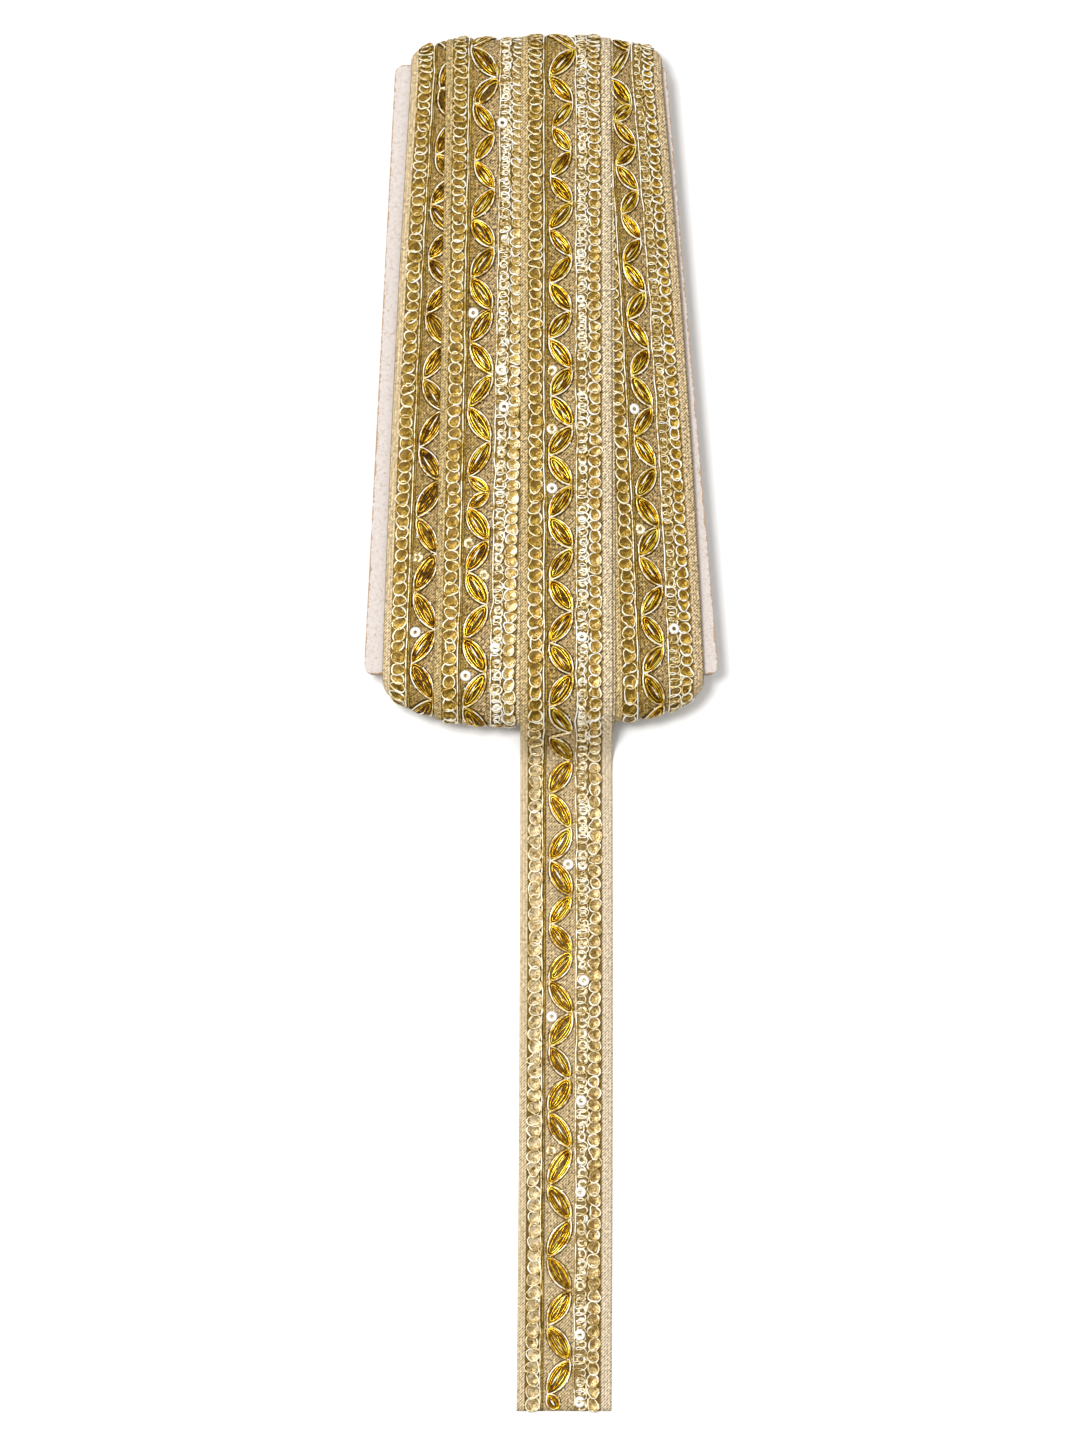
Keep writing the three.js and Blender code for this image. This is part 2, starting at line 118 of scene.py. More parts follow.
# A link's height, its sequin's, and how uneven the links are in place, size and outline
LINK = {"height": 0.78, "sequin": 0.5, "v": 0.15, "u": 0.12, "radius": 0.065, "wide": 0.06, "bend": 0.09}
# The gimp loops of a leaf, from the outer one in: reach along the leaf and width as shares of
# its own length and half width, then the thread's radius and its height
GIMP = ((0.445, 0.79, 0.23, 0.84), (0.38, 0.5, 0.21, 1.0))
# Two strands that twist down the middle of a leaf
STRAND = {"reach": 0.35, "swing": 0.26, "radius": 0.16, "height": 1.12}
# The outline thread of a leaf, and the dark thread that runs on outside it, a painted shadow of the outline
OUTLINE = {"height": 0.75, "rise": 0.18, "radius": 0.23}
OUTLINE_SHADOW = {"outside": 0.33, "height": 0.5, "radius": 0.15}
# A short stitch over a leaf's outline: three points, and the share of stitches that show
STITCH = {
    "along": np.array([0.0, 0.035, 0.07]),
    "across": np.array([-0.16, 0.04, 0.2]),
    "height": np.array([0.8, 1.08, 0.6]),
    "radius": 0.15,
    "share": 0.4,
}
# The bright strand in a leaf, a painted highlight: its height, its radius at four points, and how many leaves
# have one
GLINT = {"height": 1.2, "radius": (0.1, 0.27, 0.27, 0.1), "share": {"a": 0.5, "b": 0.9, "c": 0.9, "d": 0.9}}
# The padding of a leaf: width as a share of the leaf's own, height, and how far its edge is lower. It is very
# dark: painted shade between the gimp loops and, being wider than the leaf, a painted shadow round it
PADDING = {"width": 1.2, "height": 0.84, "fall": 0.36}
STRAY = {"radius": 1.55, "height": 0.62, "over_row": 1.2}
SCRIBBLE_RADIUS = {"a": 0.23, "b": 0.23, "c": 0.215, "d": 0.19}

rng = np.random.default_rng(11)


# The roll


def across(size, share):
    """Side size plus (crown - side) times (1 - d to the power square) to the power round,
    where d is the distance from the middle of the width, 0 to 1."""
    off = np.minimum(1.0, np.abs(2.0 * share - 1.0))
    return size["side"] + (size["crown"] - size["side"]) * (1 - off ** size["square"]) ** size["round"]


def column_x(name, u, y):
    """Left edge, straight from the near end to the far end plus a parabolic bow, plus u times
    the share of the width that shows."""
    col = COLUMN[name]
    t = np.clip((y - EDGE_NEAR_Y) / (EDGE_FAR_Y - EDGE_NEAR_Y), 0, 1)
    left = col["near"] + (col["far"] - col["near"]) * t + 4 * col["bow"] * t * (1 - t)
    return left + u * (col["near_share"] + (col["far_share"] - col["near_share"]) * t)


def roll_share(x, y):
    """Place across the roll, 0 at its left side and 1 at its right."""
    left = column_x("a", 0, y)
    return (x - left) / (column_x("d", TRIM_WIDTH, y) - left)


def bank(name, x, y):
    """Column b stands on column a at its left edge and comes down evenly to column c."""
    if name != "b":
        return 0.0 * x
    left = column_x("b", 0, y)
    return BANK_OF_B * (1 - (x - left) / (column_x("c", 0, y) - left))


FACE = np.linspace(0, 1, 101)
NOSE = np.arange(-85.0, 86.0, 5.0)
ENDS = {"near": (NEAR_LINE, -1, NEAR), "far": (FAR_LINE, 1, FAR)}


def width_line(where, t):
    """Where a station's width is read: its own y on a face, and the end's line on a nose."""
    return ENDS[where][0] + 0 * t if where in ENDS else NEAR_LINE + (FAR_LINE - NEAR_LINE) * t


def section(where, share, t, inset=0.0):
    """The roll's own form at the stations t: y, z and the direction out. A nose is a quarter
    ellipse above and one below the card's middle, and a face is the card's own level plus the
    roll's size there. The inset makes it smaller all round."""
    above = CARD_TOP + across(FRONT, share) - inset
    below = CARD_BOTTOM - across(BACK, share) + inset
    if where in ENDS:
        line, towards, size = ENDS[where]
        a = np.radians(t)
        reach = across(size, share) - inset
        height = np.where(t >= 0, above - MIDDLE_Z, MIDDLE_Z - below)
        out = np.stack([0 * height, towards * np.cos(a) / reach, np.sin(a) / height], -1)
        return line + towards * reach * np.cos(a), MIDDLE_Z + height * np.sin(a), out
    z = above + BARREL * np.sin(np.pi * t) if where == "front" else below + 0 * t
    out = np.stack([0 * z, 0 * z, 0 * z + (1 if where == "front" else -1)], -1)
    return width_line(where, t) + 0 * z, z, out


def run(name, where, stations, shift=0.0):
    """A column's bare ground along one run of the roll, a row for each station: points and the
    directions out."""
    u = np.linspace(0, TRIM_WIDTH, 27)[None, :]
    t = np.asarray(stations, float)[:, None]
    line = width_line(where, t)
    x = column_x(name, u, line) + shift
    y, z, out = section(where, roll_share(x, line), t)
    out = out / np.linalg.norm(out, axis=-1, keepdims=True)
    return np.stack([x, y, z], -1) + out * (bank(name, x, line) + 0 * x)[..., None], out


class Strip:
    """A run of the trim. place() finds any (u, v, w) on it: between the four nearest points of
    its ground, out along the ground's own direction by w, and never below the surface."""

    def __init__(self, name, at, out, closed, covered=None):
        clear = BACK_CLEARANCE[name]
        under = (at[..., 2] < MIDDLE_Z) & (at[..., 1] > NEAR_LINE - CLEARANCE_REACH)
        at[..., 2] = np.where(under, np.maximum(at[..., 2], clear), at[..., 2])
        if closed:
            at = np.concatenate([at, at[:1]])
            out = np.concatenate([out, out[:1]])
        middle = at[:, at.shape[1] // 2]
        self.v = np.concatenate([[0], np.cumsum(np.linalg.norm(np.diff(middle, axis=0), axis=1))])
        self.name, self.at, self.out, self.closed, self.covered = name, at, out, closed, covered
        self.length = self.v[-1]

    def look(self, u, v):
        """The ground and its direction at (u, v), blended from the four nearest points."""
        u, v = np.broadcast_arrays(np.asarray(u, float), np.asarray(v, float))
        v = np.mod(v, self.length) if self.closed else np.clip(v, 0, self.length)
        row = np.clip(np.searchsorted(self.v, v, side="right") - 1, 0, len(self.v) - 2)
        share_v = ((v - self.v[row]) / (self.v[row + 1] - self.v[row]))[..., None]
        place = u / TRIM_WIDTH * (self.at.shape[1] - 1)
        col = np.clip(np.floor(place).astype(int), 0, self.at.shape[1] - 2)
        share_u = (place - col)[..., None]

        def between(grid):
            first = grid[row, col] * (1 - share_u) + grid[row, col + 1] * share_u
            second = grid[row + 1, col] * (1 - share_u) + grid[row + 1, col + 1] * share_u
            return first * (1 - share_v) + second * share_v

        return between(self.at), between(self.out)

    def place(self, u, v, w):
        """Ground plus w along its direction. Under a neighbour, w is pressed flat."""
        at, out = self.look(u, v)
        w = w + 0.0 * at[..., 0]
        if self.covered is not None:
            w = np.minimum(w, self.covered(at, v + 0.0 * at[..., 0]))
        point = at + out * w[..., None]
        point[..., 2] = np.maximum(point[..., 2], 0.0)
        return point


def under_neighbour(name):
    """How high a full turn's work may stand: the room under its neighbour, less on the back,
    where the roll's weight is on it, and as high as it likes where nothing covers it."""
    other, edge, side = NEIGHBOUR[name]

    def cap(at, v):
        x, y = at[..., 0], at[..., 1]
        hidden = side * (x - column_x(other, edge, y)) > 0
        room = np.maximum(bank(other, x, y) - PRESSED["back"], PRESSED["front"])
        return np.where(hidden, np.where(at[..., 2] > MIDDLE_Z, room, PRESSED["back"]), FREE)

    return cap


def full_turn(name):
    """A turn that goes once round the roll, from the middle of the back and on to it again."""
    runs = [("back", FACE[50:]), ("far", NOSE), ("front", FACE[::-1]), ("near", NOSE[::-1])]
    runs.append(("back", FACE[:50]))
    at, out = [np.concatenate(grids) for grids in zip(*[run(name, *where) for where in runs])]
    return Strip(name, at + out * SEATING, out, True, under_neighbour(name))


def drop_rows():
    """The loose end from the near nose to its cut end: a cubic curve down to the surface, then
    straight along it."""
    start, out = run("c", "near", [LEAVE_ANGLE])
    start = start + out * TOP_TURN["lift"]
    along = np.stack([0 * out[..., 0], -out[..., 2], out[..., 1]], -1)
    floor = start * [1, 0, 0] + [0, FLOOR_Y, 0]
    t = np.linspace(0, 1, 25)[1:, None, None]
    leaving, landing = start + along * DROP_PULL, floor + [0, DROP_PULL, 0]
    rest = 1 - t
    curve = start * rest**3 + 3 * leaving * t * rest**2 + 3 * landing * t**2 * rest + floor * t**3
    slope = 3 * (leaving - start) * rest**2 + 6 * (landing - leaving) * t * rest
    slope = slope + 3 * (floor - landing) * t**2
    up = np.stack([0 * slope[..., 0], slope[..., 2], -slope[..., 1]], -1)
    up = up / np.linalg.norm(up, axis=-1, keepdims=True)
    s = np.linspace(0, 1, 90)[1:, None, None]
    laid = floor + s * [0, END_Y - FLOOR_Y, 0] + s**2 * [END_DRIFT, 0, 0]
    return np.concatenate([curve, laid]), np.concatenate([up, 0 * laid + [0, 0, 1]])


def loose_turn():
    """The last turn of the middle column: over the front under itself, round the near nose, along
    the back, over the far nose, along the front again, and off as the loose end."""
    low, back, top = LOWER_TURN, BACK_TURN, TOP_TURN
    parts = [
        ("far", NOSE[NOSE > 20], low, low),
        ("front", FACE[::-1], low, low),
        ("near", NOSE[::-1], low, back),
        ("back", FACE, back, back),
        ("far", NOSE, back, top),
        ("front", FACE[::-1], top, top),
        ("near", NOSE[NOSE >= LEAVE_ANGLE][::-1], top, top),
    ]
    at, out, starts = [], [], [0]
    for where, stations, first, last in parts:
        t = np.linspace(0, 1, len(stations))[:, None]
        t = np.clip(2 * t - 0.6, 0, 1)
        shift = first["shift"] + (last["shift"] - first["shift"]) * t
        lift = first["lift"] + (last["lift"] - first["lift"]) * t
        points, ways = run("c", where, stations, shift)
        at.append(points + ways * lift[..., None])
        out.append(ways)
        starts.append(starts[-1] + len(stations))
    points, ways = drop_rows()
    strip = Strip("c", np.concatenate(at + [points]), np.concatenate(out + [ways]), False)
    strip.shows = strip.v[starts[2] + SHOWS_AT]
    strip.covered = lambda at, v: np.where(v < strip.shows, PRESSED["below"], FREE)
    return strip


STRIPS = {name: full_turn(name) for name in "abd"}
STRIPS["c"] = loose_turn()


# Meshes


def lattice(count, rows, columns, closed_rows, closed_columns):
    """Quads of `count` grids of points that lie one after another, and each corner's row and
    column, counted past the end where a grid closes on itself."""
    i = np.arange(rows if closed_rows else rows - 1)[:, None]
    j = np.arange(columns if closed_columns else columns - 1)[None, :]
    i, j = [g.ravel() for g in np.broadcast_arrays(i, j)]
    corner_row = np.stack([i, i, i + 1, i + 1], 1)
    corner_column = np.stack([j, j + 1, j + 1, j], 1)
    quads = (corner_row % rows) * columns + (corner_column % columns)
    step = (np.arange(count) * rows * columns)[:, None, None]
    quads = (quads[None] + step).reshape(-1, 4)
    return quads, np.tile(corner_row, (count, 1)), np.tile(corner_column, (count, 1))


class Piece:
    """Points and faces that become one mesh."""

    def __init__(self):
        self.points, self.faces, self.uvs, self.total = [], [], [], 0

    def add(self, grid, closed_rows=False, closed_columns=False, uv_rows=None, uv_columns=None, capped=False):
        """A batch of grids (count, rows, columns, 3). uv_rows is along each row, and uv_columns
        across, both with one value more where the grid closes. A cap is one face across an end."""
        count, rows, columns = grid.shape[:3]
        quads, corner_row, corner_column = lattice(count, rows, columns, closed_rows, closed_columns)
        along = np.arange(rows + 1.0) if uv_rows is None else np.asarray(uv_rows, float)
        side = np.arange(columns + 1.0) / columns if uv_columns is None else np.asarray(uv_columns, float)
        self.points.append(grid.reshape(-1, 3))
        self.faces.append(quads + self.total)
        self.uvs.append(np.stack([side[corner_column], along[corner_row]], -1).reshape(-1, 2))
        if capped:
            first = np.arange(columns)[None, ::-1] + (np.arange(count) * rows * columns)[:, None]
            last = np.arange(columns)[None] + (np.arange(count) * rows * columns)[:, None]
            last = last + (rows - 1) * columns
            for face in (first, last):
                self.faces.append(face + self.total)
                self.uvs.append(np.zeros((face.size, 2)))
        self.total += count * rows * columns
        return self

    def lay(self, strip, u, v, w, radius, sides=5, closed=False, only=slice(None), uv_rows=None):
        """Adds round threads, as rings or with capped ends."""
        grid = threads(strip, u, v, w, radius, sides, closed)[only]
        return self.add(grid, closed, True, uv_rows, capped=not closed)

    def join(self, other):
        """Takes in another piece's points and faces."""
        self.faces += [face + self.total for face in other.faces]
        self.points += other.points
        self.uvs += other.uvs
        self.total += other.total

    def make(self, name, look, slot, *nodes, smooth=True):
        """The finished object, in metres, with its look and the nodes it stands for; slot is not used."""
        mesh = bpy.data.meshes.new(name)
        points = np.concatenate(self.points) * MM
        corners = np.concatenate([f.ravel() for f in self.faces])
        sizes = np.concatenate([np.full(len(f), f.shape[1]) for f in self.faces])
        mesh.vertices.add(len(points))
        mesh.vertices.foreach_set("co", points.ravel())
        mesh.loops.add(len(corners))
        mesh.loops.foreach_set("vertex_index", corners)
        mesh.polygons.add(len(sizes))
        mesh.polygons.foreach_set("loop_start", np.concatenate([[0], np.cumsum(sizes)[:-1]]))
        mesh.polygons.foreach_set("use_smooth", np.full(len(sizes), smooth))
        layer = mesh.uv_layers.new(name="UVMap")
        layer.uv.foreach_set("vector", np.concatenate(self.uvs).ravel())
        mesh.update(calc_edges=True)
        mesh.validate()
        mesh.materials.append(look)
        thing = bpy.data.objects.new(name, mesh)
        bpy.context.scene.collection.objects.link(thing)
        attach(thing, ROOT)
        if nodes:
            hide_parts(*nodes)
        return thing


def circle(steps):
    """Even angles, once round."""
    return np.arange(steps) * 2 * np.pi / steps


def drift(v, every, spread):
    """A slow wander: a random value at every so many places, and straight lines between."""
    return np.interp(v, v[::every], rng.normal(0, spread, len(v[::every])))


def threads(strip, u, v, w, radius, sides, closed=False):
    """Round threads laid on the trim: each path point plus radius times (cos a side + sin a up),
    where side is across the path and up is the trim's own way out."""
    path = strip.place(u, v, w)
    up = strip.look(u, v)[1]
    if closed:
        run_on = np.roll(path, -1, 1) - np.roll(path, 1, 1)
    else:
        run_on = np.gradient(path, axis=1)
    run_on = run_on / np.maximum(np.linalg.norm(run_on, axis=-1, keepdims=True), 1e-9)
    side = np.cross(run_on, up)
    side = side / np.maximum(np.linalg.norm(side, axis=-1, keepdims=True), 1e-9)
    up = np.cross(side, run_on)
    a = circle(sides)[None, None, :, None]
    size = np.broadcast_to(np.asarray(radius, float), path.shape[:2])[:, :, None, None]
    grid = path[:, :, None] + size * (np.cos(a) * side[:, :, None] - np.sin(a) * up[:, :, None])
    grid[..., 2] = np.maximum(grid[..., 2], 0.0)
    return grid


# Where the leaves fall: the number of leaves counted along a strip, at a few places. Even nodes
# are on the left. Two short steps are where the embroiderer's zigzag slips.
LEAVES = {
    "a": {
        "v": (136.2, 151, 182.2, 210.5, 240.2, 271.5),
        "count": (0, 2, 6, 9, 12, 15),
        "round": 42,
    },
    "b": {
        "v": (109, 141.8, 175.8, 212.5, 232.5, 241, 268, 296.2),
        "count": (0, 4, 8, 12, 14, 16, 19, 22),
        "round": 46,
    },
    "c": {
        "v": (240.2, 423.2, 459.7, 498.7, 540.2, 584, 610, 611.5, 658.7, 682.2, 717.7, 756.7, 793.2, 811.9),
        "count": (-20, 0, 5, 10, 15, 20, 23, 24, 29, 32, 36, 40, 44, 46),
        "round": 0,
    },
    "d": {
        "v": (115, 139.5, 167.8, 200.2, 234.2, 267.5, 291.5),
        "count": (0, 4, 8, 12, 16, 20, 23),
        "round": 46,
    },
}
# The nodes of the vine that a single sequin lies beside
STRAYS = {
    "bright": {"a": (15,), "b": (9, 21), "c": (15, 28, 33), "d": (13,)},
    "dull": {"a": (13,), "b": (17, 18), "c": (11, 13, 37), "d": (17,)},
}
# Bright sequins that lie over the row: places across and along each strip
OVER_THE_ROW = {
    "b": ((16.2, 131.1), (16.8, 202.2), (17.8, 212.7), (16.7, 280.0)),
    "c": ((16.9, 582.4), (17.6, 682.1), (16.9, 714.8), (16.8, 739.4), (16.8, 777.5), (16.9, 795.2)),
    "d": ((17.4, 271.0),),
}


def leaf_table(name):
    """The places in v and their counts. On a full turn the table also runs a turn on, both ways."""
    table = LEAVES[name]
    v, count = np.array(table["v"], float), np.array(table["count"], float)
    if table["round"]:
        turn, total = STRIPS[name].length, table["round"]
        v = np.concatenate([v - turn, v, v + turn])
        count = np.concatenate([count - total, count, count + total])
    return v, count


def leaf_count(name, v):
    """How many leaves there are up to a place on the strip."""
    return np.interp(v, *leaf_table(name))


def leaf_place(name, count):
    """Where on the strip a count of leaves is reached."""
    v, known = leaf_table(name)
    return np.interp(count, known, v)


def visible_range(name):
    """The stretch of a strip that has work on it."""
    strip = STRIPS[name]
    return (strip.shows, strip.length) if name == "c" else (0.0, strip.length)


def tape(strip):
    """The trim's ground: a thin closed band, thicker at its two woven edges and thinnest at the
    net between them."""
    u = np.array(TAPE_POINTS)
    top = np.interp(u, TAPE_TOP["u"], TAPE_TOP["w"])
    under = np.interp(u, TAPE_UNDER["u"], TAPE_UNDER["w"])
    count = int(strip.length / TAPE_STEP)
    v = np.linspace(0, strip.length, count + 1)
    if strip.closed:
        v = v[:-1]
    u_all = np.concatenate([u, u[::-1]])
    w_all = np.concatenate([top, under[::-1]])
    grid = strip.place(u_all[None, :], v[:, None], w_all[None, :])[None]
    along = np.append(v, strip.length) / TRIM_WIDTH
    side = np.append(u_all[::-1], u_all[-1]) / TRIM_WIDTH
    return Piece().add(grid[:, :, ::-1], strip.closed, True, along, side, capped=not strip.closed)


def chain_places(name, pitch, size):
    """Places a pitch apart along a strip. The work is closer towards the far end of the roll:
    the count of places is the sum of each step over its own pitch."""
    first, last = visible_range(name)
    v = np.linspace(first, last, 2000)
    y = STRIPS[name].look(TRIM_WIDTH / 2, v)[0][:, 1]
    share = np.interp(y, CROWDING["y"], CROWDING["share"])
    count = np.concatenate([[0], np.cumsum(np.diff(v) / (pitch * share[1:]))])
    n = int(count[-1])
    places = np.interp(np.arange(n) + 0.5, count * n / count[-1], v)
    return places, size * np.sqrt(np.interp(places, v, share))


def chain(name, spec):
    """Overlapping links: each a round thread whose near side lies on the next, about a flat dull
    sequin. The thread's height is its middle plus tilt times sin a, a round the link."""
    strip = STRIPS[name]
    v, radius = chain_places(name, spec["pitch"], spec["radius"])
    n = len(v)
    v = v + rng.normal(0, LINK["v"], n)
    u = spec["middle"] + rng.normal(0, LINK["u"], n)
    crowded = 1 - np.clip(radius / spec["radius"], 0, 1)
    radius = radius * rng.normal(1.0, LINK["radius"], n)
    wide = spec["radius"] * (1 - 0.45 * crowded) * rng.normal(1.0, LINK["wide"], n)
    tilt = (spec["tip"] + crowded + rng.normal(0, 0.06, n))[:, None]
    lean = (2.6 * crowded + rng.normal(0, 0.13 + 1.2 * crowded, n))[:, None]
    a = circle(14)
    bend, turned = rng.normal(0, LINK["bend"], (2, n, 1)), rng.uniform(0, 6, (n, 1))
    square = 1 + bend[0] * np.cos(2 * a + turned) + bend[1] * np.cos(3 * a - turned)
    ring_u = u[:, None] + wide[:, None] * square * np.cos(a) + lean * np.sin(a)
    ring_v = v[:, None] + radius[:, None] * 1.04 * square * np.sin(a)
    ring_w = LINK["height"] + tilt * np.sin(a) + 0.05 * np.sin(3 * a + rng.uniform(0, 6, (n, 1)))
    size = spec["thread"] * (1 + 0.35 * np.cos(2 * a + rng.uniform(0, 6, (n, 1))))
    rims = Piece().lay(strip, ring_u, ring_v, ring_w, size, closed=True)
    hole = np.where(rng.random(n) < 0.12, 0.28, 0.02)
    discs = ring_discs(strip, u, v, 0.97 * np.minimum(radius, wide), LINK["sequin"], 0.07, hole, cup=0.16)
    return rims, discs


def leaves(name):
    """The vine: leaves between nodes that swing from left to right. A leaf's outline is half its
    width times sin(pi s) to a power, s along it, with short stitches over it and a thin dark
    thread outside it as a painted shadow. Inside are nested pointed loops, two twisted strands and
    a bright strand that is a painted highlight, on very dark padding that is highest in the
    middle: painted shade between the loops and a painted shadow round the leaf."""
    strip = STRIPS[name]
    first, last = visible_range(name)
    start, stop = int(np.ceil(leaf_count(name, first))), int(np.floor(leaf_count(name, last)))
    index = np.arange(start, start + LEAVES[name]["round"] + 1 if strip.closed else stop + 2)
    v = leaf_place(name, index.astype(float))
    uneven = np.interp(strip.look(TRIM_WIDTH / 2, v)[0][:, 1], UNEVEN["y"], UNEVEN["share"])
    v = v + uneven * rng.normal(0, 0.12, len(index))
    u = np.where(index % 2 == 0, LEAF["left"], LEAF["right"]) + uneven * rng.normal(0, 0.15, len(index))
    if not strip.closed:
        v[-1], u[-1] = strip.length - CUT_LEAF["short"], LEAF["left"] + CUT_LEAF["across"]
    u0, u1, v0, v1 = [g[:, None] for g in (u[:-1], u[1:], v[:-1], v[1:])]
    length = np.hypot(u1 - u0, v1 - v0)
    uneven, n = uneven[1:, None], len(length)

    def vary(spread):
        """A random value for each leaf."""
        return rng.normal(0, spread, (n, 1))

    def spot(s, t):
        """A place at s along each leaf and t across it, in u and v."""
        x = u0 + s * (u1 - u0) - t * (v1 - v0) / length
        y = v0 + s * (v1 - v0) + t * (u1 - u0) / length
        return x, y

    half = LEAF["half"] * (1 + uneven * vary(0.05)) * np.clip(length / LEAF["full"], 0.75, 1.05)
    slip = v1 - v0 < LEAF["slip"]
    half, whole = np.where(slip, 0.2, half), ~slip[:, 0]

    outline, bed = Piece(), Piece()
    s = np.arange(10) / 10
    swing = np.sin(np.pi * s) ** LEAF["round"]
    for sign in (-1, 1):
        flip = np.where(index[:-1, None] % 2 == 0, sign, -sign)
        over = OUTLINE["height"] + OUTLINE["rise"] * (1 if sign > 0 else swing)
        for piece, t, w, radius in (
            (outline, swing * half, over, OUTLINE["radius"]),
            (bed, swing * half + OUTLINE_SHADOW["outside"], OUTLINE_SHADOW["height"], OUTLINE_SHADOW["radius"]),
        ):
            x, y = spot(s, flip * t)
            piece.lay(strip, *[np.reshape(g + 0 * x, (1, -1)) for g in (x, y, w)], radius)

    for sign in (-1, 1):
        for middle in np.linspace(0.12, 0.82, 5):
            s = middle + rng.uniform(-0.06, 0.06, (n, 1))
            s = np.clip(s + STITCH["along"] * rng.choice([-1, 1], (n, 1)), 0.02, 0.98)
            reach = np.sin(np.pi * s) ** LEAF["round"] + STITCH["across"] + vary(0.05)
            x, y = spot(s, sign * half * reach)
            shows = whole & (rng.random(n) < STITCH["share"])
            outline.lay(strip, x, y, STITCH["height"], STITCH["radius"], 4, only=shows)

    # A bright strand down the leaf: a painted highlight
    glint = vary(0.1)
    s = np.linspace(0.31, 0.69, 4) + vary(0.05)
    x, y = spot(s, half * (0.1 + glint))
    shows = whole & (rng.random(n) < GLINT["share"][name])
    outline.lay(strip, x, y, GLINT["height"], GLINT["radius"], only=shows)

    inside = Piece()
    a = circle(16)
    pointed = np.sign(np.sin(a)) * np.abs(np.sin(a)) ** 1.1
    for reach, width, radius, height in GIMP:
        lean = uneven * vary(0.055)
        s = 0.5 + (reach + vary(0.012)) * np.cos(a) + 0.02 * lean
        x, y = spot(s, half * (width * pointed + lean))
        w = height + 0.12 * np.cos(a + rng.uniform(0, 6, (n, 1)))
        inside.lay(strip, x, y, w, radius * rng.normal(1, 0.08, (n, 1)), closed=True, only=whole)
    s = np.linspace(-1, 1, 9)
    taper = 1 - 0.6 * s**4
    for side in (-1, 1):
        bend = side * np.sin(0.5 * np.pi * s + vary(0.6))
        bend = bend + vary(0.25)
        x, y = spot(0.5 + STRAND["reach"] * s, half * STRAND["swing"] * taper * bend)
        w = STRAND["height"] + 0.08 * side * np.sin(np.pi * s)
        inside.lay(strip, x, y, w, STRAND["radius"] * taper, only=whole)

    # The dark padding: painted shade under the loops and a painted shadow round the leaf
    ring = np.array([0.0, 0.66, 1.0])[:, None]
    s, t = 0.5 + 0.5 * ring * np.cos(circle(12)), ring * np.sin(circle(12))
    x, y = spot(s.reshape(1, -1), PADDING["width"] * half * t.reshape(1, -1))
    x, y = [g.reshape(n, *s.shape)[whole] for g in (x, y)]
    w = PADDING["height"] - PADDING["fall"] * ring**2
    bed.add(strip.place(x, y, w)[:, :, ::-1], False, True)
    return outline, inside, bed


def cord(strip, u, w, radius, wander, sides=6):
    """A straight couched cord, with a small slow wander. The two on the left lie CORD_SHIFT
    nearer the edge on the loose end than on the roll."""
    first, last = visible_range(strip.name)
    v = np.arange(first, last, CORD_STEP)
    if u < TRIM_WIDTH / 2:
        u = u - CORD_SHIFT * np.interp(-strip.look(u, v)[0][:, 1], (98, 112), (0, 1))
    u = u + drift(v, 3, wander)
    w = w + drift(v, 4, 0.05)
    along = np.append(v, v[-1] + CORD_STEP)
    return Piece().lay(strip, u[None], v[None], w[None], radius, sides, uv_rows=along)


def sequins(name):
    """Flat rings, each tilted its own way. Some are missing, most of them on the fourth column."""
    strip = STRIPS[name]
    v, radius = chain_places(name, SEQUIN_ROW["pitch"], SEQUIN_ROW["radius"])
    keep = rng.random(len(v)) < SEQUINS_LEFT[name]
    v, radius = v[keep] + rng.normal(0, 0.3, keep.sum()), radius[keep]
    u = SEQUIN_ROW["middle"] + rng.normal(0, 0.25, len(v))
    return ring_discs(strip, u, v, radius, SEQUIN_ROW["height"], 0.22, rng.uniform(0.3, 0.55, len(v)))


def ring_discs(strip, u, v, radius, height, tilt, hole, cup=0.1):
    """A ring with a hole: four circles, inner and outer, top and bottom, on a tilted plane. Its
    outside stands a little higher than its middle, by the cup."""
    n = len(v)
    u, v, radius, hole = [np.broadcast_to(g, n)[:, None, None] for g in (u, v, radius, hole)]
    share = np.concatenate([hole, 1 + 0 * hole, 1 + 0 * hole, hole], 1)
    step = np.array([0.0, cup, cup - 0.08, -0.08])[:, None]
    x = radius * share * np.cos(circle(10))
    y = radius * share * np.sin(circle(10))
    tip = rng.normal(0, tilt, (2, n, 1, 1))
    w = height + rng.normal(0, 0.06, (n, 1, 1)) + step + tip[0] * x / 1.4 + tip[1] * y / 1.4
    grid = strip.place(u + x, v + y, np.maximum(w, 0.45 + step))
    return Piece().add(grid[:, :, ::-1], True, True)


def strays(name, kind):
    """Single sequins in the corners of the net that face a node of the vine, and the bright ones
    that lie over the row."""
    strip, size = STRIPS[name], STRAY["radius"]
    node = np.array(STRAYS[kind][name])
    v = leaf_place(name, node.astype(float)) + 0.8
    u = np.where(node % 2 == 0, LEAF["right"] - 0.9, LEAF["left"] + 0.6)
    made = ring_discs(strip, u, v, size, STRAY["height"], 0.12, 0.33)
    if kind == "bright" and name in OVER_THE_ROW:
        u, v = np.array(OVER_THE_ROW[name]).T
        made.join(ring_discs(strip, u, v, size, STRAY["over_row"], 0.1, 0.36))
    return made


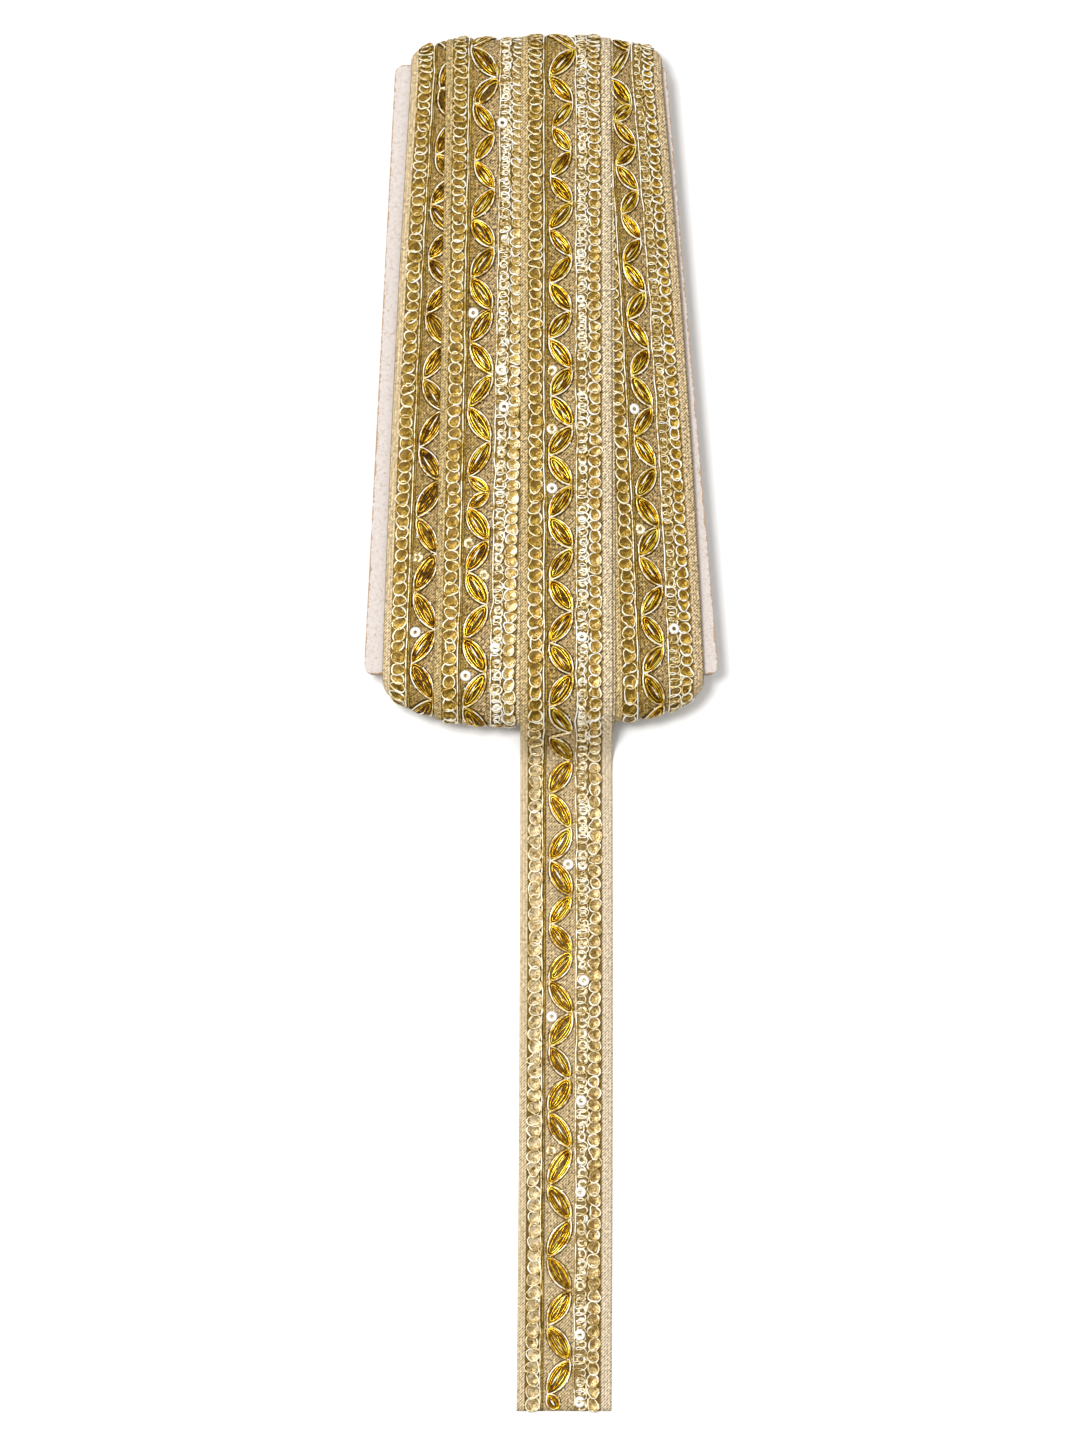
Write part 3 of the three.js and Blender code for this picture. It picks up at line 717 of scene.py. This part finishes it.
def scribble(name):
    """The thread that loops over the sequin row: u = middle + swing cos p and v = q + 0.8 sin p,
    where p grows by a full turn each step, and swing, step and both places wander slowly."""
    first, last = visible_range(name)
    q = np.arange(first + 1, last - 1, SCRIBBLE_STEP)
    step = 2.0 + drift(q, 40, 0.3)
    phase = 2 * np.pi * np.cumsum(SCRIBBLE_STEP / step)
    swing = 1.3 + drift(q, 11, 0.35)
    v = q + 0.8 * np.sin(phase) + drift(q, 13, 0.3)
    u = SEQUIN_ROW["middle"] + swing * np.cos(phase) + drift(q, 17, 0.2)
    w = 0.98 + 0.2 * np.sin(2.3 * phase)
    size = SCRIBBLE_RADIUS[name] + np.interp(q, q[::7], rng.uniform(-0.08, 0.09, len(q[::7])))
    return Piece().lay(STRIPS[name], u[None], v[None], w[None], size)


# Finishes


def node(tree, kind, values=(), **settings):
    """Adds a node, with its settings and its unlinked inputs."""
    made = tree.nodes.new(kind)
    for key, value in settings.items():
        setattr(made, key, value)
    for key, value in dict(values).items():
        made.inputs[key].default_value = value
    return made


def calc(tree, operation, first, second=None, third=None):
    """A Math node whose inputs are numbers or other nodes' outputs."""
    made = tree.nodes.new("ShaderNodeMath")
    made.operation = operation
    for i, value in enumerate((first, second, third)):
        if isinstance(value, (int, float)):
            made.inputs[i].default_value = value
        elif value is not None:
            tree.links.new(value, made.inputs[i])
    return made.outputs[0]


def axes(tree, vector):
    """The three coordinates of a vector, by name."""
    parts = tree.nodes.new("ShaderNodeSeparateXYZ")
    tree.links.new(vector, parts.inputs[0])
    return parts.outputs


def group(name, inputs, result, build):
    """A shader group with a Vector input, float inputs (name: value) and one float result, which
    build works out from what comes in."""
    tree = bpy.data.node_groups.new(name, "ShaderNodeTree")
    tree.interface.new_socket("Vector", in_out="INPUT", socket_type="NodeSocketVector")
    for key, value in inputs.items():
        socket = tree.interface.new_socket(key, in_out="INPUT", socket_type="NodeSocketFloat")
        socket.default_value = value
    tree.interface.new_socket(result, in_out="OUTPUT", socket_type="NodeSocketFloat")
    into, out = tree.nodes.new("NodeGroupInput"), tree.nodes.new("NodeGroupOutput")
    tree.links.new(build(tree, into.outputs), out.inputs[0])
    return tree


def weave_height(tree, into):
    """Threads that cross at a slant: a sine along the slanted weft plus a share of one across the
    warp, scaled to lie about 0.5."""
    parts = axes(tree, into["Vector"])
    rate = calc(tree, "DIVIDE", 2 * math.pi, into["Pitch"])
    slanted = calc(tree, "MULTIPLY_ADD", parts["X"], into["Slant"], parts["Y"])
    warp = calc(tree, "SINE", calc(tree, "MULTIPLY", parts["X"], rate))
    weft = calc(tree, "SINE", calc(tree, "MULTIPLY", slanted, rate))
    both = calc(tree, "MULTIPLY_ADD", warp, into["Warp"], weft)
    return calc(tree, "MULTIPLY_ADD", both, 0.37, 0.5)


def mottle_shade(tree, into):
    """Uneven shade: broad and fine noise mixed, 0.5 on average."""
    grains = []
    for detail, scale in ((2.0, into["Scale"]), (1.0, calc(tree, "MULTIPLY", into["Scale"], 4.3))):
        noise = node(tree, "ShaderNodeTexNoise", {"Detail": detail, "Roughness": 0.6})
        tree.links.new(into["Vector"], noise.inputs["Vector"])
        tree.links.new(scale, noise.inputs["Scale"])
        grains.append(noise.outputs[0])
    broad, fine = grains
    return calc(tree, "MULTIPLY_ADD", calc(tree, "SUBTRACT", fine, broad), into["Fine"], broad)


def laid_out_mask(tree, into):
    """How far the trim lies on the white surface, one layer thick: 0 on the roll, 1 beyond it."""
    far = calc(tree, "SUBTRACT", axes(tree, into["Vector"])["Y"], into["Start"])
    share = calc(tree, "DIVIDE", far, calc(tree, "SUBTRACT", into["Full"], into["Start"]))
    return calc(tree, "MINIMUM", calc(tree, "MAXIMUM", share, 0.0), 1.0)


def painted_shade_top_mask(tree, into):
    """Where a round thread faces up: 1 on its top and 0 low on its sides, the mask for a painted
    shade on the sides. The map's first coordinate goes once round the thread and is 0.75 at the top."""
    away = calc(tree, "ABSOLUTE", calc(tree, "SUBTRACT", axes(tree, into["Vector"])["X"], 0.75))
    share = calc(tree, "SUBTRACT", 1.0, calc(tree, "DIVIDE", away, into["Width"]))
    return calc(tree, "MAXIMUM", share, 0.0)


WEAVE = group("woven threads", {"Pitch": 0.5, "Slant": 1.0, "Warp": 0.35}, "Height", weave_height)
MOTTLE = group("uneven shade", {"Scale": 500.0, "Fine": 0.5}, "Shade", mottle_shade)
LAID_OUT = group("laid on the surface", {"Start": -0.098, "Full": -0.105}, "Mask", laid_out_mask)
PAINTED_SHADE_TOP = group("top of a thread", {"Width": 0.25}, "Mask", painted_shade_top_mask)


def use(tree, made, vector, values=()):
    """A group's result in a material, with its own values."""
    placed = tree.nodes.new("ShaderNodeGroup")
    placed.node_tree = made
    tree.links.new(vector, placed.inputs["Vector"])
    for key, value in dict(values).items():
        placed.inputs[key].default_value = value
    return placed.outputs[0]


def ramp(tree, factor, stops, mode="LINEAR"):
    """A colour for each place on a scale, from a table of (place, colour)."""
    made = tree.nodes.new("ShaderNodeValToRGB")
    made.color_ramp.interpolation = mode
    points = made.color_ramp.elements
    points[0].position, points[-1].position = stops[0][0], stops[-1][0]
    for place, _ in stops[1:-1]:
        points.new(place)
    for point, (_, color) in zip(points, stops):
        point.color = (*color, 1)
    tree.links.new(factor, made.inputs["Fac"])
    return made.outputs["Color"]


def finish(name, metallic, roughness, color=(1, 1, 1)):
    """A new material, its tree and its shader."""
    material = bpy.data.materials.new(name)
    material.use_nodes = True
    shader = material.node_tree.nodes["Principled BSDF"]
    shader.inputs["Specular IOR Level"].default_value = 0.15
    shader.inputs["Base Color"].default_value = (*color, 1)
    shader.inputs["Metallic"].default_value = metallic
    shader.inputs["Roughness"].default_value = roughness
    return material, material.node_tree, shader


def bump(tree, shader, height, depth, strength):
    """Raises a height, up to a depth in millimetres."""
    made = node(tree, "ShaderNodeBump", {"Strength": strength, "Distance": depth * MM})
    tree.links.new(height, made.inputs["Height"])
    tree.links.new(made.outputs[0], shader.inputs["Normal"])


def blend(tree, factor, first, second, kind="MIX"):
    """A Mix of two colours: each a colour, or another node's output."""
    made = node(tree, "ShaderNodeMix", data_type="RGBA", blend_type=kind)
    for key, value in (("Factor", factor), ("A", first), ("B", second)):
        if isinstance(value, (int, float)):
            made.inputs[key].default_value = value
        elif isinstance(value, tuple):
            made.inputs[key].default_value = (*value, 1)
        else:
            tree.links.new(value, made.inputs[key])
    return made.outputs["Result"]


def metal(
    name, shades, metallic, roughness,
    scale=420.0, fine=0.5, sides=None, pale=None, reach=0.25, spread=0.13, coils=None,
):
    """Metal thread or foil, uneven in tone from place to place: dark, middle and light. Sides is a
    painted shade low on a round thread's sides and on one side of each sequin, pale the three shades
    where it lies on the surface, and coils the pitch, depth and strength of the fine turns it is wound in."""
    material, tree, shader = finish(name, metallic, roughness)
    coordinates = node(tree, "ShaderNodeTexCoord")
    spot, place = coordinates.outputs["UV"], coordinates.outputs["Object"]
    shade = use(tree, MOTTLE, place, {"Scale": scale, "Fine": fine})
    steps = (0.5 - spread, 0.5, 0.5 + spread)
    color = ramp(tree, shade, list(zip(steps, shades)))
    if sides is not None:
        # Painted shade: the sides colour darkens a round thread low on its sides, and each sequin on one side
        top = use(tree, PAINTED_SHADE_TOP, spot, {"Width": reach})
        color = blend(tree, calc(tree, "SQRT", top), sides, color)
    if pale is not None:
        mask = use(tree, LAID_OUT, place)
        share = calc(tree, "MULTIPLY", mask, 0.7)
        color = blend(tree, share, color, ramp(tree, shade, list(zip(steps, pale))))
    tree.links.new(color, shader.inputs["Base Color"])
    if coils is not None:
        pitch, depth, strength = coils
        bump(tree, shader, use(tree, WEAVE, spot, {"Pitch": pitch}), depth, strength)
    return material


# What finishes of one kind share; sides in each is a painted shade low on a thread's sides
THREAD = {"scale": 330.0, "fine": 0.35, "sides": (0.2, 0.11, 0.01), "reach": 0.34, "spread": 0.08}
FOIL = {"scale": 620.0, "spread": 0.085}
GIMP_WIRE = {
    "fine": 0.2,
    "sides": (0.03, 0.012, 0.0),
    "reach": 0.22,
    "spread": 0.09,
    "coils": (0.5, 0.05, 0.22),
}

bright_thread = metal(
    "bright_metal_thread",
    ((0.55, 0.36, 0.09), (1.0, 0.92, 0.67), (1.0, 0.99, 0.92)), 0.15, 0.3,
    pale=((0.42, 0.27, 0.07), (0.82, 0.68, 0.4), (0.96, 0.87, 0.68)), **THREAD,
)
outline_thread = metal(
    "leaf_outline_thread",
    ((0.5, 0.31, 0.06), (1.0, 0.89, 0.58), (1.0, 0.97, 0.84)), 0.15, 0.3,
    pale=((0.36, 0.21, 0.04), (0.93, 0.72, 0.33), (1.0, 0.97, 0.84)), **THREAD,
)
gold_thread = metal(
    "gold_metal_thread",
    ((0.52, 0.31, 0.05), (1.0, 0.85, 0.46), (1.0, 0.96, 0.8)), 0.2, 0.3,
    pale=((0.5, 0.35, 0.13), (0.82, 0.68, 0.4), (0.96, 0.87, 0.66)),
    fine=0.3, sides=(0.13, 0.065, 0.004), reach=0.36, spread=0.08,
)
champagne_sequin = metal(
    "champagne_sequin",
    ((0.3, 0.17, 0.02), (1.0, 0.84, 0.48), (1.0, 0.98, 0.86)), 0.3, 0.25,
    scale=480.0, fine=0.35, spread=0.08,
)
bright_sequin = metal(
    "bright_sequin",
    ((0.92, 0.86, 0.74), (0.98, 0.94, 0.86), (1.0, 0.98, 0.94)), 0.25, 0.2,
)
# On the sequins below, sides is a painted shade on one side of each sequin
link_sequin = metal(
    "dull_gold_sequin",
    ((0.1, 0.05, 0.002), (0.33, 0.19, 0.016), (0.6, 0.4, 0.075)), 0.25, 0.4,
    pale=((0.22, 0.145, 0.04), (0.48, 0.37, 0.2), (0.7, 0.59, 0.4)),
    sides=(0.14, 0.076, 0.006), reach=0.47, **FOIL,
)
gold_sequin = metal(
    "bright_gold_sequin",
    ((0.14, 0.07, 0.003), (0.5, 0.32, 0.05), (0.95, 0.74, 0.34)), 0.25, 0.35,
    pale=((0.15, 0.085, 0.02), (0.31, 0.21, 0.07), (0.54, 0.41, 0.21)),
    sides=(0.24, 0.13, 0.012), reach=0.5, **FOIL,
)
pale_gold_sequin = metal(
    "pale_gold_sequin",
    ((0.2, 0.11, 0.01), (0.7, 0.51, 0.19), (1.0, 0.87, 0.55)), 0.25, 0.35,
    sides=(0.34, 0.21, 0.04), reach=0.5, **FOIL,
)
warm_gold_sequin = metal(
    "warm_gold_sequin",
    ((0.12, 0.055, 0.002), (0.47, 0.27, 0.014), (0.85, 0.58, 0.11)), 0.25, 0.38,
    sides=(0.2, 0.105, 0.006), reach=0.48, **FOIL,
)
amber_gimp = metal(
    "antique_gold_gimp",
    ((0.32, 0.13, 0.001), (0.96, 0.51, 0.01), (1.0, 0.79, 0.11)), 0.8, 0.3, **GIMP_WIRE,
)
aged_gimp = metal(
    "aged_gold_gimp",
    ((0.08, 0.028, 0.0), (0.5, 0.23, 0.004), (1.0, 0.62, 0.07)), 0.8, 0.3, **GIMP_WIRE,
)
# Very dark: painted shade under the gimp loops and a painted shadow round each leaf
leaf_padding_and_painted_shade = metal(
    "leaf_padding_and_painted_shade",
    ((0.035, 0.014, 0.0), (0.09, 0.043, 0.001), (0.18, 0.095, 0.006)), 0.1, 0.6,
    pale=((0.09, 0.045, 0.004), (0.19, 0.11, 0.025), (0.34, 0.22, 0.07)),
)
olive_cord = metal(
    "dark_gold_cord",
    ((0.13, 0.07, 0.005), (0.33, 0.2, 0.03), (0.56, 0.38, 0.1)), 0.3, 0.4,
    sides=(0.11, 0.06, 0.005), coils=(0.9, 0.12, 1.0),
)
core_cloth = metal("inner_turns", ((0.1, 0.06, 0.015), (0.2, 0.135, 0.045), (0.42, 0.32, 0.17)), 0.1, 0.6)
RIGHT_FOIL = {"a": gold_sequin, "b": pale_gold_sequin, "c": gold_sequin, "d": warm_gold_sequin}

# The left and the right woven edge of each strip on the roll, its net, and how grainy it is. The net is
# darker on the side columns a and d: painted shade on the roll's sides
TISSUE = {
    "a": ((0.556, 0.43, 0.25), (0.545, 0.43, 0.265), (0.325, 0.216, 0.082), 4.4),
    "b": ((0.418, 0.304, 0.13), (0.62, 0.495, 0.3), (0.335, 0.23, 0.1), 7.0),
    "c": ((0.466, 0.343, 0.16), (0.556, 0.449, 0.29), (0.35, 0.243, 0.104), 6.4),
    "d": ((0.485, 0.355, 0.16), (0.506, 0.382, 0.215), (0.3, 0.2, 0.078), 7.0),
}


def tissue(name, left_edge, right_edge, net_on_roll, edge_grain):
    """The trim's ground: closely woven edges, a dark band under each chain that is painted shade
    between the links, and fine net between, paler where one layer lies on the white surface. On the
    roll a painted shadow line runs along each edge, and the net is a painted shade on its left part."""
    material, tree, shader = finish(name, 0.05, 0.6)
    coordinates = node(tree, "ShaderNodeTexCoord")
    spot, place = coordinates.outputs["UV"], coordinates.outputs["Object"]
    across_trim = axes(tree, spot)["X"]

    def bands(rim, edge, other_edge, band, row, shaded_net, net):
        """A colour for each stretch across the trim, from its left edge."""
        limits = [
            # rim: on the roll a painted shadow line along the tape's edge; on the surface the edge's own
            # colour
            (0, rim),
            (0.3, edge),
            (SELVEDGE_LEFT - 0.15, edge),
            # band: a painted shade under the chain links
            (SELVEDGE_LEFT + 0.1, band),
            (6.9, band),
            # shaded_net: on the roll a painted shade on the net left of the vine
            (7.2, shaded_net),
            (9.5, shaded_net),
            (12.0, net),
            (15.1, net),
            (15.4, row),
            (18.6, row),
            (19.0, band),
            (SELVEDGE_RIGHT - 0.3, band),
            (SELVEDGE_RIGHT - 0.05, other_edge),
            (TRIM_WIDTH - 0.35, other_edge),
            (TRIM_WIDTH - 0.05, rim),
        ]
        return ramp(tree, across_trim, [(u / TRIM_WIDTH, color) for u, color in limits])

    on_roll = bands(
        (0.16, 0.09, 0.012),
        left_edge,
        right_edge,
        (0.2, 0.115, 0.012),
        (0.27, 0.165, 0.035),
        (0.265, 0.167, 0.04),
        net_on_roll,
    )
    # On the surface too, the band under the chains is a painted shade
    on_surface = bands(
        (0.55, 0.43, 0.25),
        (0.56, 0.44, 0.265),
        (0.58, 0.475, 0.33),
        (0.16, 0.09, 0.012),
        (0.28, 0.18, 0.055),
        (0.44, 0.327, 0.175),
        (0.43, 0.317, 0.165),
    )
    laid_out = use(tree, LAID_OUT, place)
    color = blend(tree, laid_out, on_roll, on_surface)
    millimetres = node(tree, "ShaderNodeVectorMath", operation="SCALE")
    millimetres.inputs["Scale"].default_value = TRIM_WIDTH
    tree.links.new(spot, millimetres.inputs[0])
    flat = millimetres.outputs[0]
    threads_up = use(tree, WEAVE, flat, {"Pitch": 0.82, "Slant": 1.0, "Warp": 0.4})
    mottle = use(tree, MOTTLE, flat, {"Scale": 1.35, "Fine": 0.35})
    stitch = use(tree, MOTTLE, flat, {"Scale": 0.33, "Fine": 0.12})
    line = calc(tree, "ABSOLUTE", calc(tree, "SUBTRACT", stitch, 0.5))
    line = calc(tree, "LESS_THAN", line, 0.006)
    half, none = (0.55, 0.55, 0.55), (0, 0, 0)
    limits = [(0, none), (7.4 / TRIM_WIDTH, half), (15 / TRIM_WIDTH, none)]
    net_only = ramp(tree, across_trim, limits, "CONSTANT")
    color = blend(tree, calc(tree, "MULTIPLY", line, net_only), color, (0.72, 0.6, 0.4))
    grain = calc(tree, "MULTIPLY_ADD", net_only, 4.0, edge_grain)
    grain = calc(tree, "MULTIPLY_ADD", laid_out, -3.0, grain)
    even = calc(tree, "ADD", threads_up, 0.5)
    shade = calc(tree, "MULTIPLY_ADD", calc(tree, "SUBTRACT", mottle, 0.5), grain, even)
    shade = calc(tree, "MAXIMUM", shade, 0.2)
    grey = node(tree, "ShaderNodeCombineColor")
    for channel in ("Red", "Green", "Blue"):
        tree.links.new(shade, grey.inputs[channel])
    tree.links.new(blend(tree, 1.0, color, grey.outputs[0], "MULTIPLY"), shader.inputs["Base Color"])
    bump(tree, shader, threads_up, 0.09, 0.8)
    return material


def board():
    """Thin white card: speckled, with worn brown edges. The worn line follows the card's own
    straight sides, whose places are worked out from its two widths."""
    material, tree, shader = finish("card_board", 0.0, 0.6)
    place = node(tree, "ShaderNodeTexCoord").outputs["Object"]
    x, y, _ = axes(tree, place)
    near, far = CARD["near"] * MM, CARD["far"] * MM
    near_half, far_half, lean = CARD["near_half"] * MM, CARD["far_half"] * MM, CARD["lean"] * MM
    from_near, from_far = calc(tree, "SUBTRACT", y, near), calc(tree, "SUBTRACT", far, y)
    along = calc(tree, "DIVIDE", from_near, far - near)
    half = calc(tree, "MULTIPLY_ADD", along, far_half - near_half, near_half)
    middle = calc(tree, "MULTIPLY_ADD", along, -2 * lean, lean)
    off = calc(tree, "ABSOLUTE", calc(tree, "SUBTRACT", x, middle))
    side = calc(tree, "SUBTRACT", half, off)
    ends = calc(tree, "MINIMUM", from_near, from_far)
    inward = calc(tree, "MINIMUM", side, ends)
    uneven = use(tree, MOTTLE, place, {"Scale": 260.0, "Fine": 0.5})
    reach = calc(tree, "MULTIPLY", uneven, 2.2 * MM)
    worn = calc(tree, "LESS_THAN", inward, calc(tree, "SUBTRACT", reach, 0.83 * MM))
    speck = use(tree, MOTTLE, place, {"Scale": 900.0, "Fine": 0.55})
    shades = ((0.4, 0.25, 0.17), (0.56, 0.47, 0.41), (0.64, 0.575, 0.53), (0.68, 0.625, 0.59))
    paper = ramp(tree, speck, list(zip((0.32, 0.39, 0.49, 0.62), shades)))
    tree.links.new(blend(tree, worn, paper, (0.44, 0.29, 0.18)), shader.inputs["Base Color"])
    return material


card_board = board()


def core():
    """The turns below the outer ones: the roll's own form a little inside them, closed about the
    card, with the edges of the turns as fine steps down both sides. Each station is one row:
    across the outside, down the right, and up the left."""
    rows = []
    share = np.linspace(0.006, 0.994, 41)[None, :]
    level = np.linspace(0, 1, 8)[None, 1:, None]
    fold = (CORE["fold"] * (np.arange(7) % 2))[None, :, None] * [1, 0, 0]
    runs = (("front", FACE[::-4]), ("near", NOSE[::-2]), ("back", FACE[::4]), ("far", NOSE[::2]))
    for where, stations in runs:
        t = stations[:, None]
        line = width_line(where, t)
        left, right = column_x("a", 0, line), column_x("d", TRIM_WIDTH, line)
        x = left + (right - left) * share
        y, z, _ = section(where, share, t, CORE["inset"])
        z = np.where(z < MIDDLE_Z, np.maximum(z, CORE["clear"]), z)
        if where in ENDS:
            a = np.radians(t)
            past = CORE["past_far"] if where == "far" else 0.0
            in_y = line + ENDS[where][1] * CORE["tip"] * np.cos(a) + past
            in_z = MIDDLE_Z + CORE["round_card"] * np.sin(a)
        else:
            in_y = line + CORE["past_far"] * t
            in_z = MIDDLE_Z + CORE["round_card"] * (1 if where == "front" else -1) + 0 * t
        outer = np.stack([x, y, z], -1)
        inner_left = np.stack([x[:, :1], in_y, in_z], -1)
        inner_right = np.stack([x[:, -1:], in_y, in_z], -1)
        left_side = outer[:, :1] * (1 - level) + inner_left * level + fold
        right_side = outer[:, -1:] * (1 - level) + inner_right * level - fold
        rows.append(np.concatenate([outer, right_side, left_side[:, ::-1]], 1))
    return Piece().add(np.concatenate(rows)[None], True, True)


core_piece = core().make("wound_core", core_cloth, "winding", "winding")

VINE = {
    "a": "column_a_leaf_vine",
    "b": "column_b_leaf_vine",
    "c": "loose_end_leaf_vine",
    "d": "column_d_leaf_vine",
}
TITLE = {"a": "first_column", "b": "second_column", "c": "loose_end", "d": "fourth_column"}


def column(key):
    """One column, or the third with the loose end: its tape and all that is sewn on it."""
    strip, title = STRIPS[key], TITLE[key]
    slot = "loose_end" if key == "c" else "winding"
    ground = tape(strip).make(f"{title}_tape", tissue(f"{title}_tissue", *TISSUE[key]), slot, slot)

    def sew(piece, part, look, *nodes, into=slot, smooth=True):
        piece.make(f"{title}_{part}", look, into, *nodes, smooth=smooth)

    for side, spec, thread, foil in (
        ("left", CHAIN_LEFT, gold_thread, link_sequin),
        ("right", CHAIN_RIGHT, bright_thread, RIGHT_FOIL[key]),
    ):
        rims, discs = chain(key, spec)
        sew(rims, f"{side}_chain_links", thread)
        sew(discs, f"{side}_chain_sequins", foil, smooth=False)
    outline, inside, bed = leaves(key)
    sew(outline, "leaf_outlines", outline_thread, into="leaf_vine")
    sew(inside, "leaf_gimp", aged_gimp if key == "a" else amber_gimp, VINE[key], into="leaf_vine")
    sew(bed, "leaf_padding_and_painted_shade", leaf_padding_and_painted_shade, into="leaf_vine")
    sew(cord(strip, CORD_LEFT, 0.62, 0.3, 0.04), "left_cord", olive_cord)
    thread = bright_thread if key in "cd" else gold_thread
    sew(cord(strip, CORD_LEFT - 0.65, 0.82, 0.22, 0.1, 5), "left_couched_thread", thread)
    sew(cord(strip, CORD_RIGHT + 0.1, 0.82, 0.23, 0.15, 5), "right_couched_thread", bright_thread)
    sew(sequins(key), "sequin_row", pale_gold_sequin if key == "d" else champagne_sequin)
    sew(strays(key, "bright"), "single_bright_sequins", bright_sequin)
    sew(strays(key, "dull"), "single_dull_sequins", champagne_sequin)
    sew(scribble(key), "looping_thread", gold_thread if key == "d" else bright_thread)


for key in STRIPS:
    column(key)

card = bpy.data.objects["card"]
card.data.materials.clear()
card.data.materials.append(card_board)


# The surface, the light and the camera

FLOOR_HALF = 40
floor_mesh = bpy.data.meshes.new("floor")
corners = [(x * FLOOR_HALF, y * FLOOR_HALF, 0) for x, y in ((-1, -1), (1, -1), (1, 1), (-1, 1))]
floor_mesh.from_pydata(corners, [], [(0, 1, 2, 3)])
floor = bpy.data.objects.new("floor", floor_mesh)
bpy.context.scene.collection.objects.link(floor)
floor_mesh.materials.append(finish("white_surface", 0.0, 0.9, (0.92, 0.92, 0.92))[0])


def lamp(name, place, aim, size, power):
    """A square lamp at a place, turned to shine at what it aims at."""
    data = bpy.data.lights.new(name, "AREA")
    data.shape, data.size, data.energy = "SQUARE", size, power
    thing = bpy.data.objects.new(name, data)
    thing.location = place
    ray = np.subtract(aim, place)
    tilt = math.acos(-ray[2] / np.linalg.norm(ray))
    thing.rotation_euler = (tilt, 0, math.atan2(ray[1], ray[0]) - math.pi / 2)
    bpy.context.scene.collection.objects.link(thing)


lamp("key", (-0.32, -0.02, 1.09), (0, -0.09, 0), 0.3, 8.5)

world = bpy.data.worlds.new("studio")
bpy.context.scene.world = world
world.use_nodes = True
sky = world.node_tree
direction = node(sky, "ShaderNodeTexCoord").outputs["Generated"]
towards = node(sky, "ShaderNodeVectorMath", {1: (0.0, 0.16, 0.98)}, operation="DOT_PRODUCT")
sky.links.new(direction, towards.inputs[0])
glow = ramp(
    sky,
    calc(sky, "MULTIPLY_ADD", towards.outputs["Value"], 0.5, 0.5),
    [(0.4, (0.03, 0.03, 0.03)), (0.7, (0.4, 0.4, 0.4)), (0.9, (1, 1, 1))],
)
sky.links.new(glow, sky.nodes["Background"].inputs["Color"])
sky.nodes["Background"].inputs["Strength"].default_value = 0.97
bpy.context.scene.view_settings.view_transform = "Standard"

# The camera's tilt and distance, the point it looks at, and the photograph's focal length and
# height in its own pixels
CAMERA_TILT = math.radians(8.5)
CAMERA_REACH = 0.9
AIM_X, AIM_Y = 0.002, -0.097
FOCAL_PIXELS, PICTURE_HEIGHT = 3245, 1448
lens = bpy.data.cameras.new("camera")
lens.sensor_width = 36
lens.lens = lens.sensor_width * FOCAL_PIXELS / PICTURE_HEIGHT
lens.clip_start = 0.01
camera = bpy.data.objects.new("camera", lens)
camera.location = (AIM_X, AIM_Y - CAMERA_REACH * math.sin(CAMERA_TILT), CAMERA_REACH * math.cos(CAMERA_TILT))
camera.rotation_euler = (CAMERA_TILT, 0, 0)
bpy.context.scene.collection.objects.link(camera)
bpy.context.scene.camera = camera
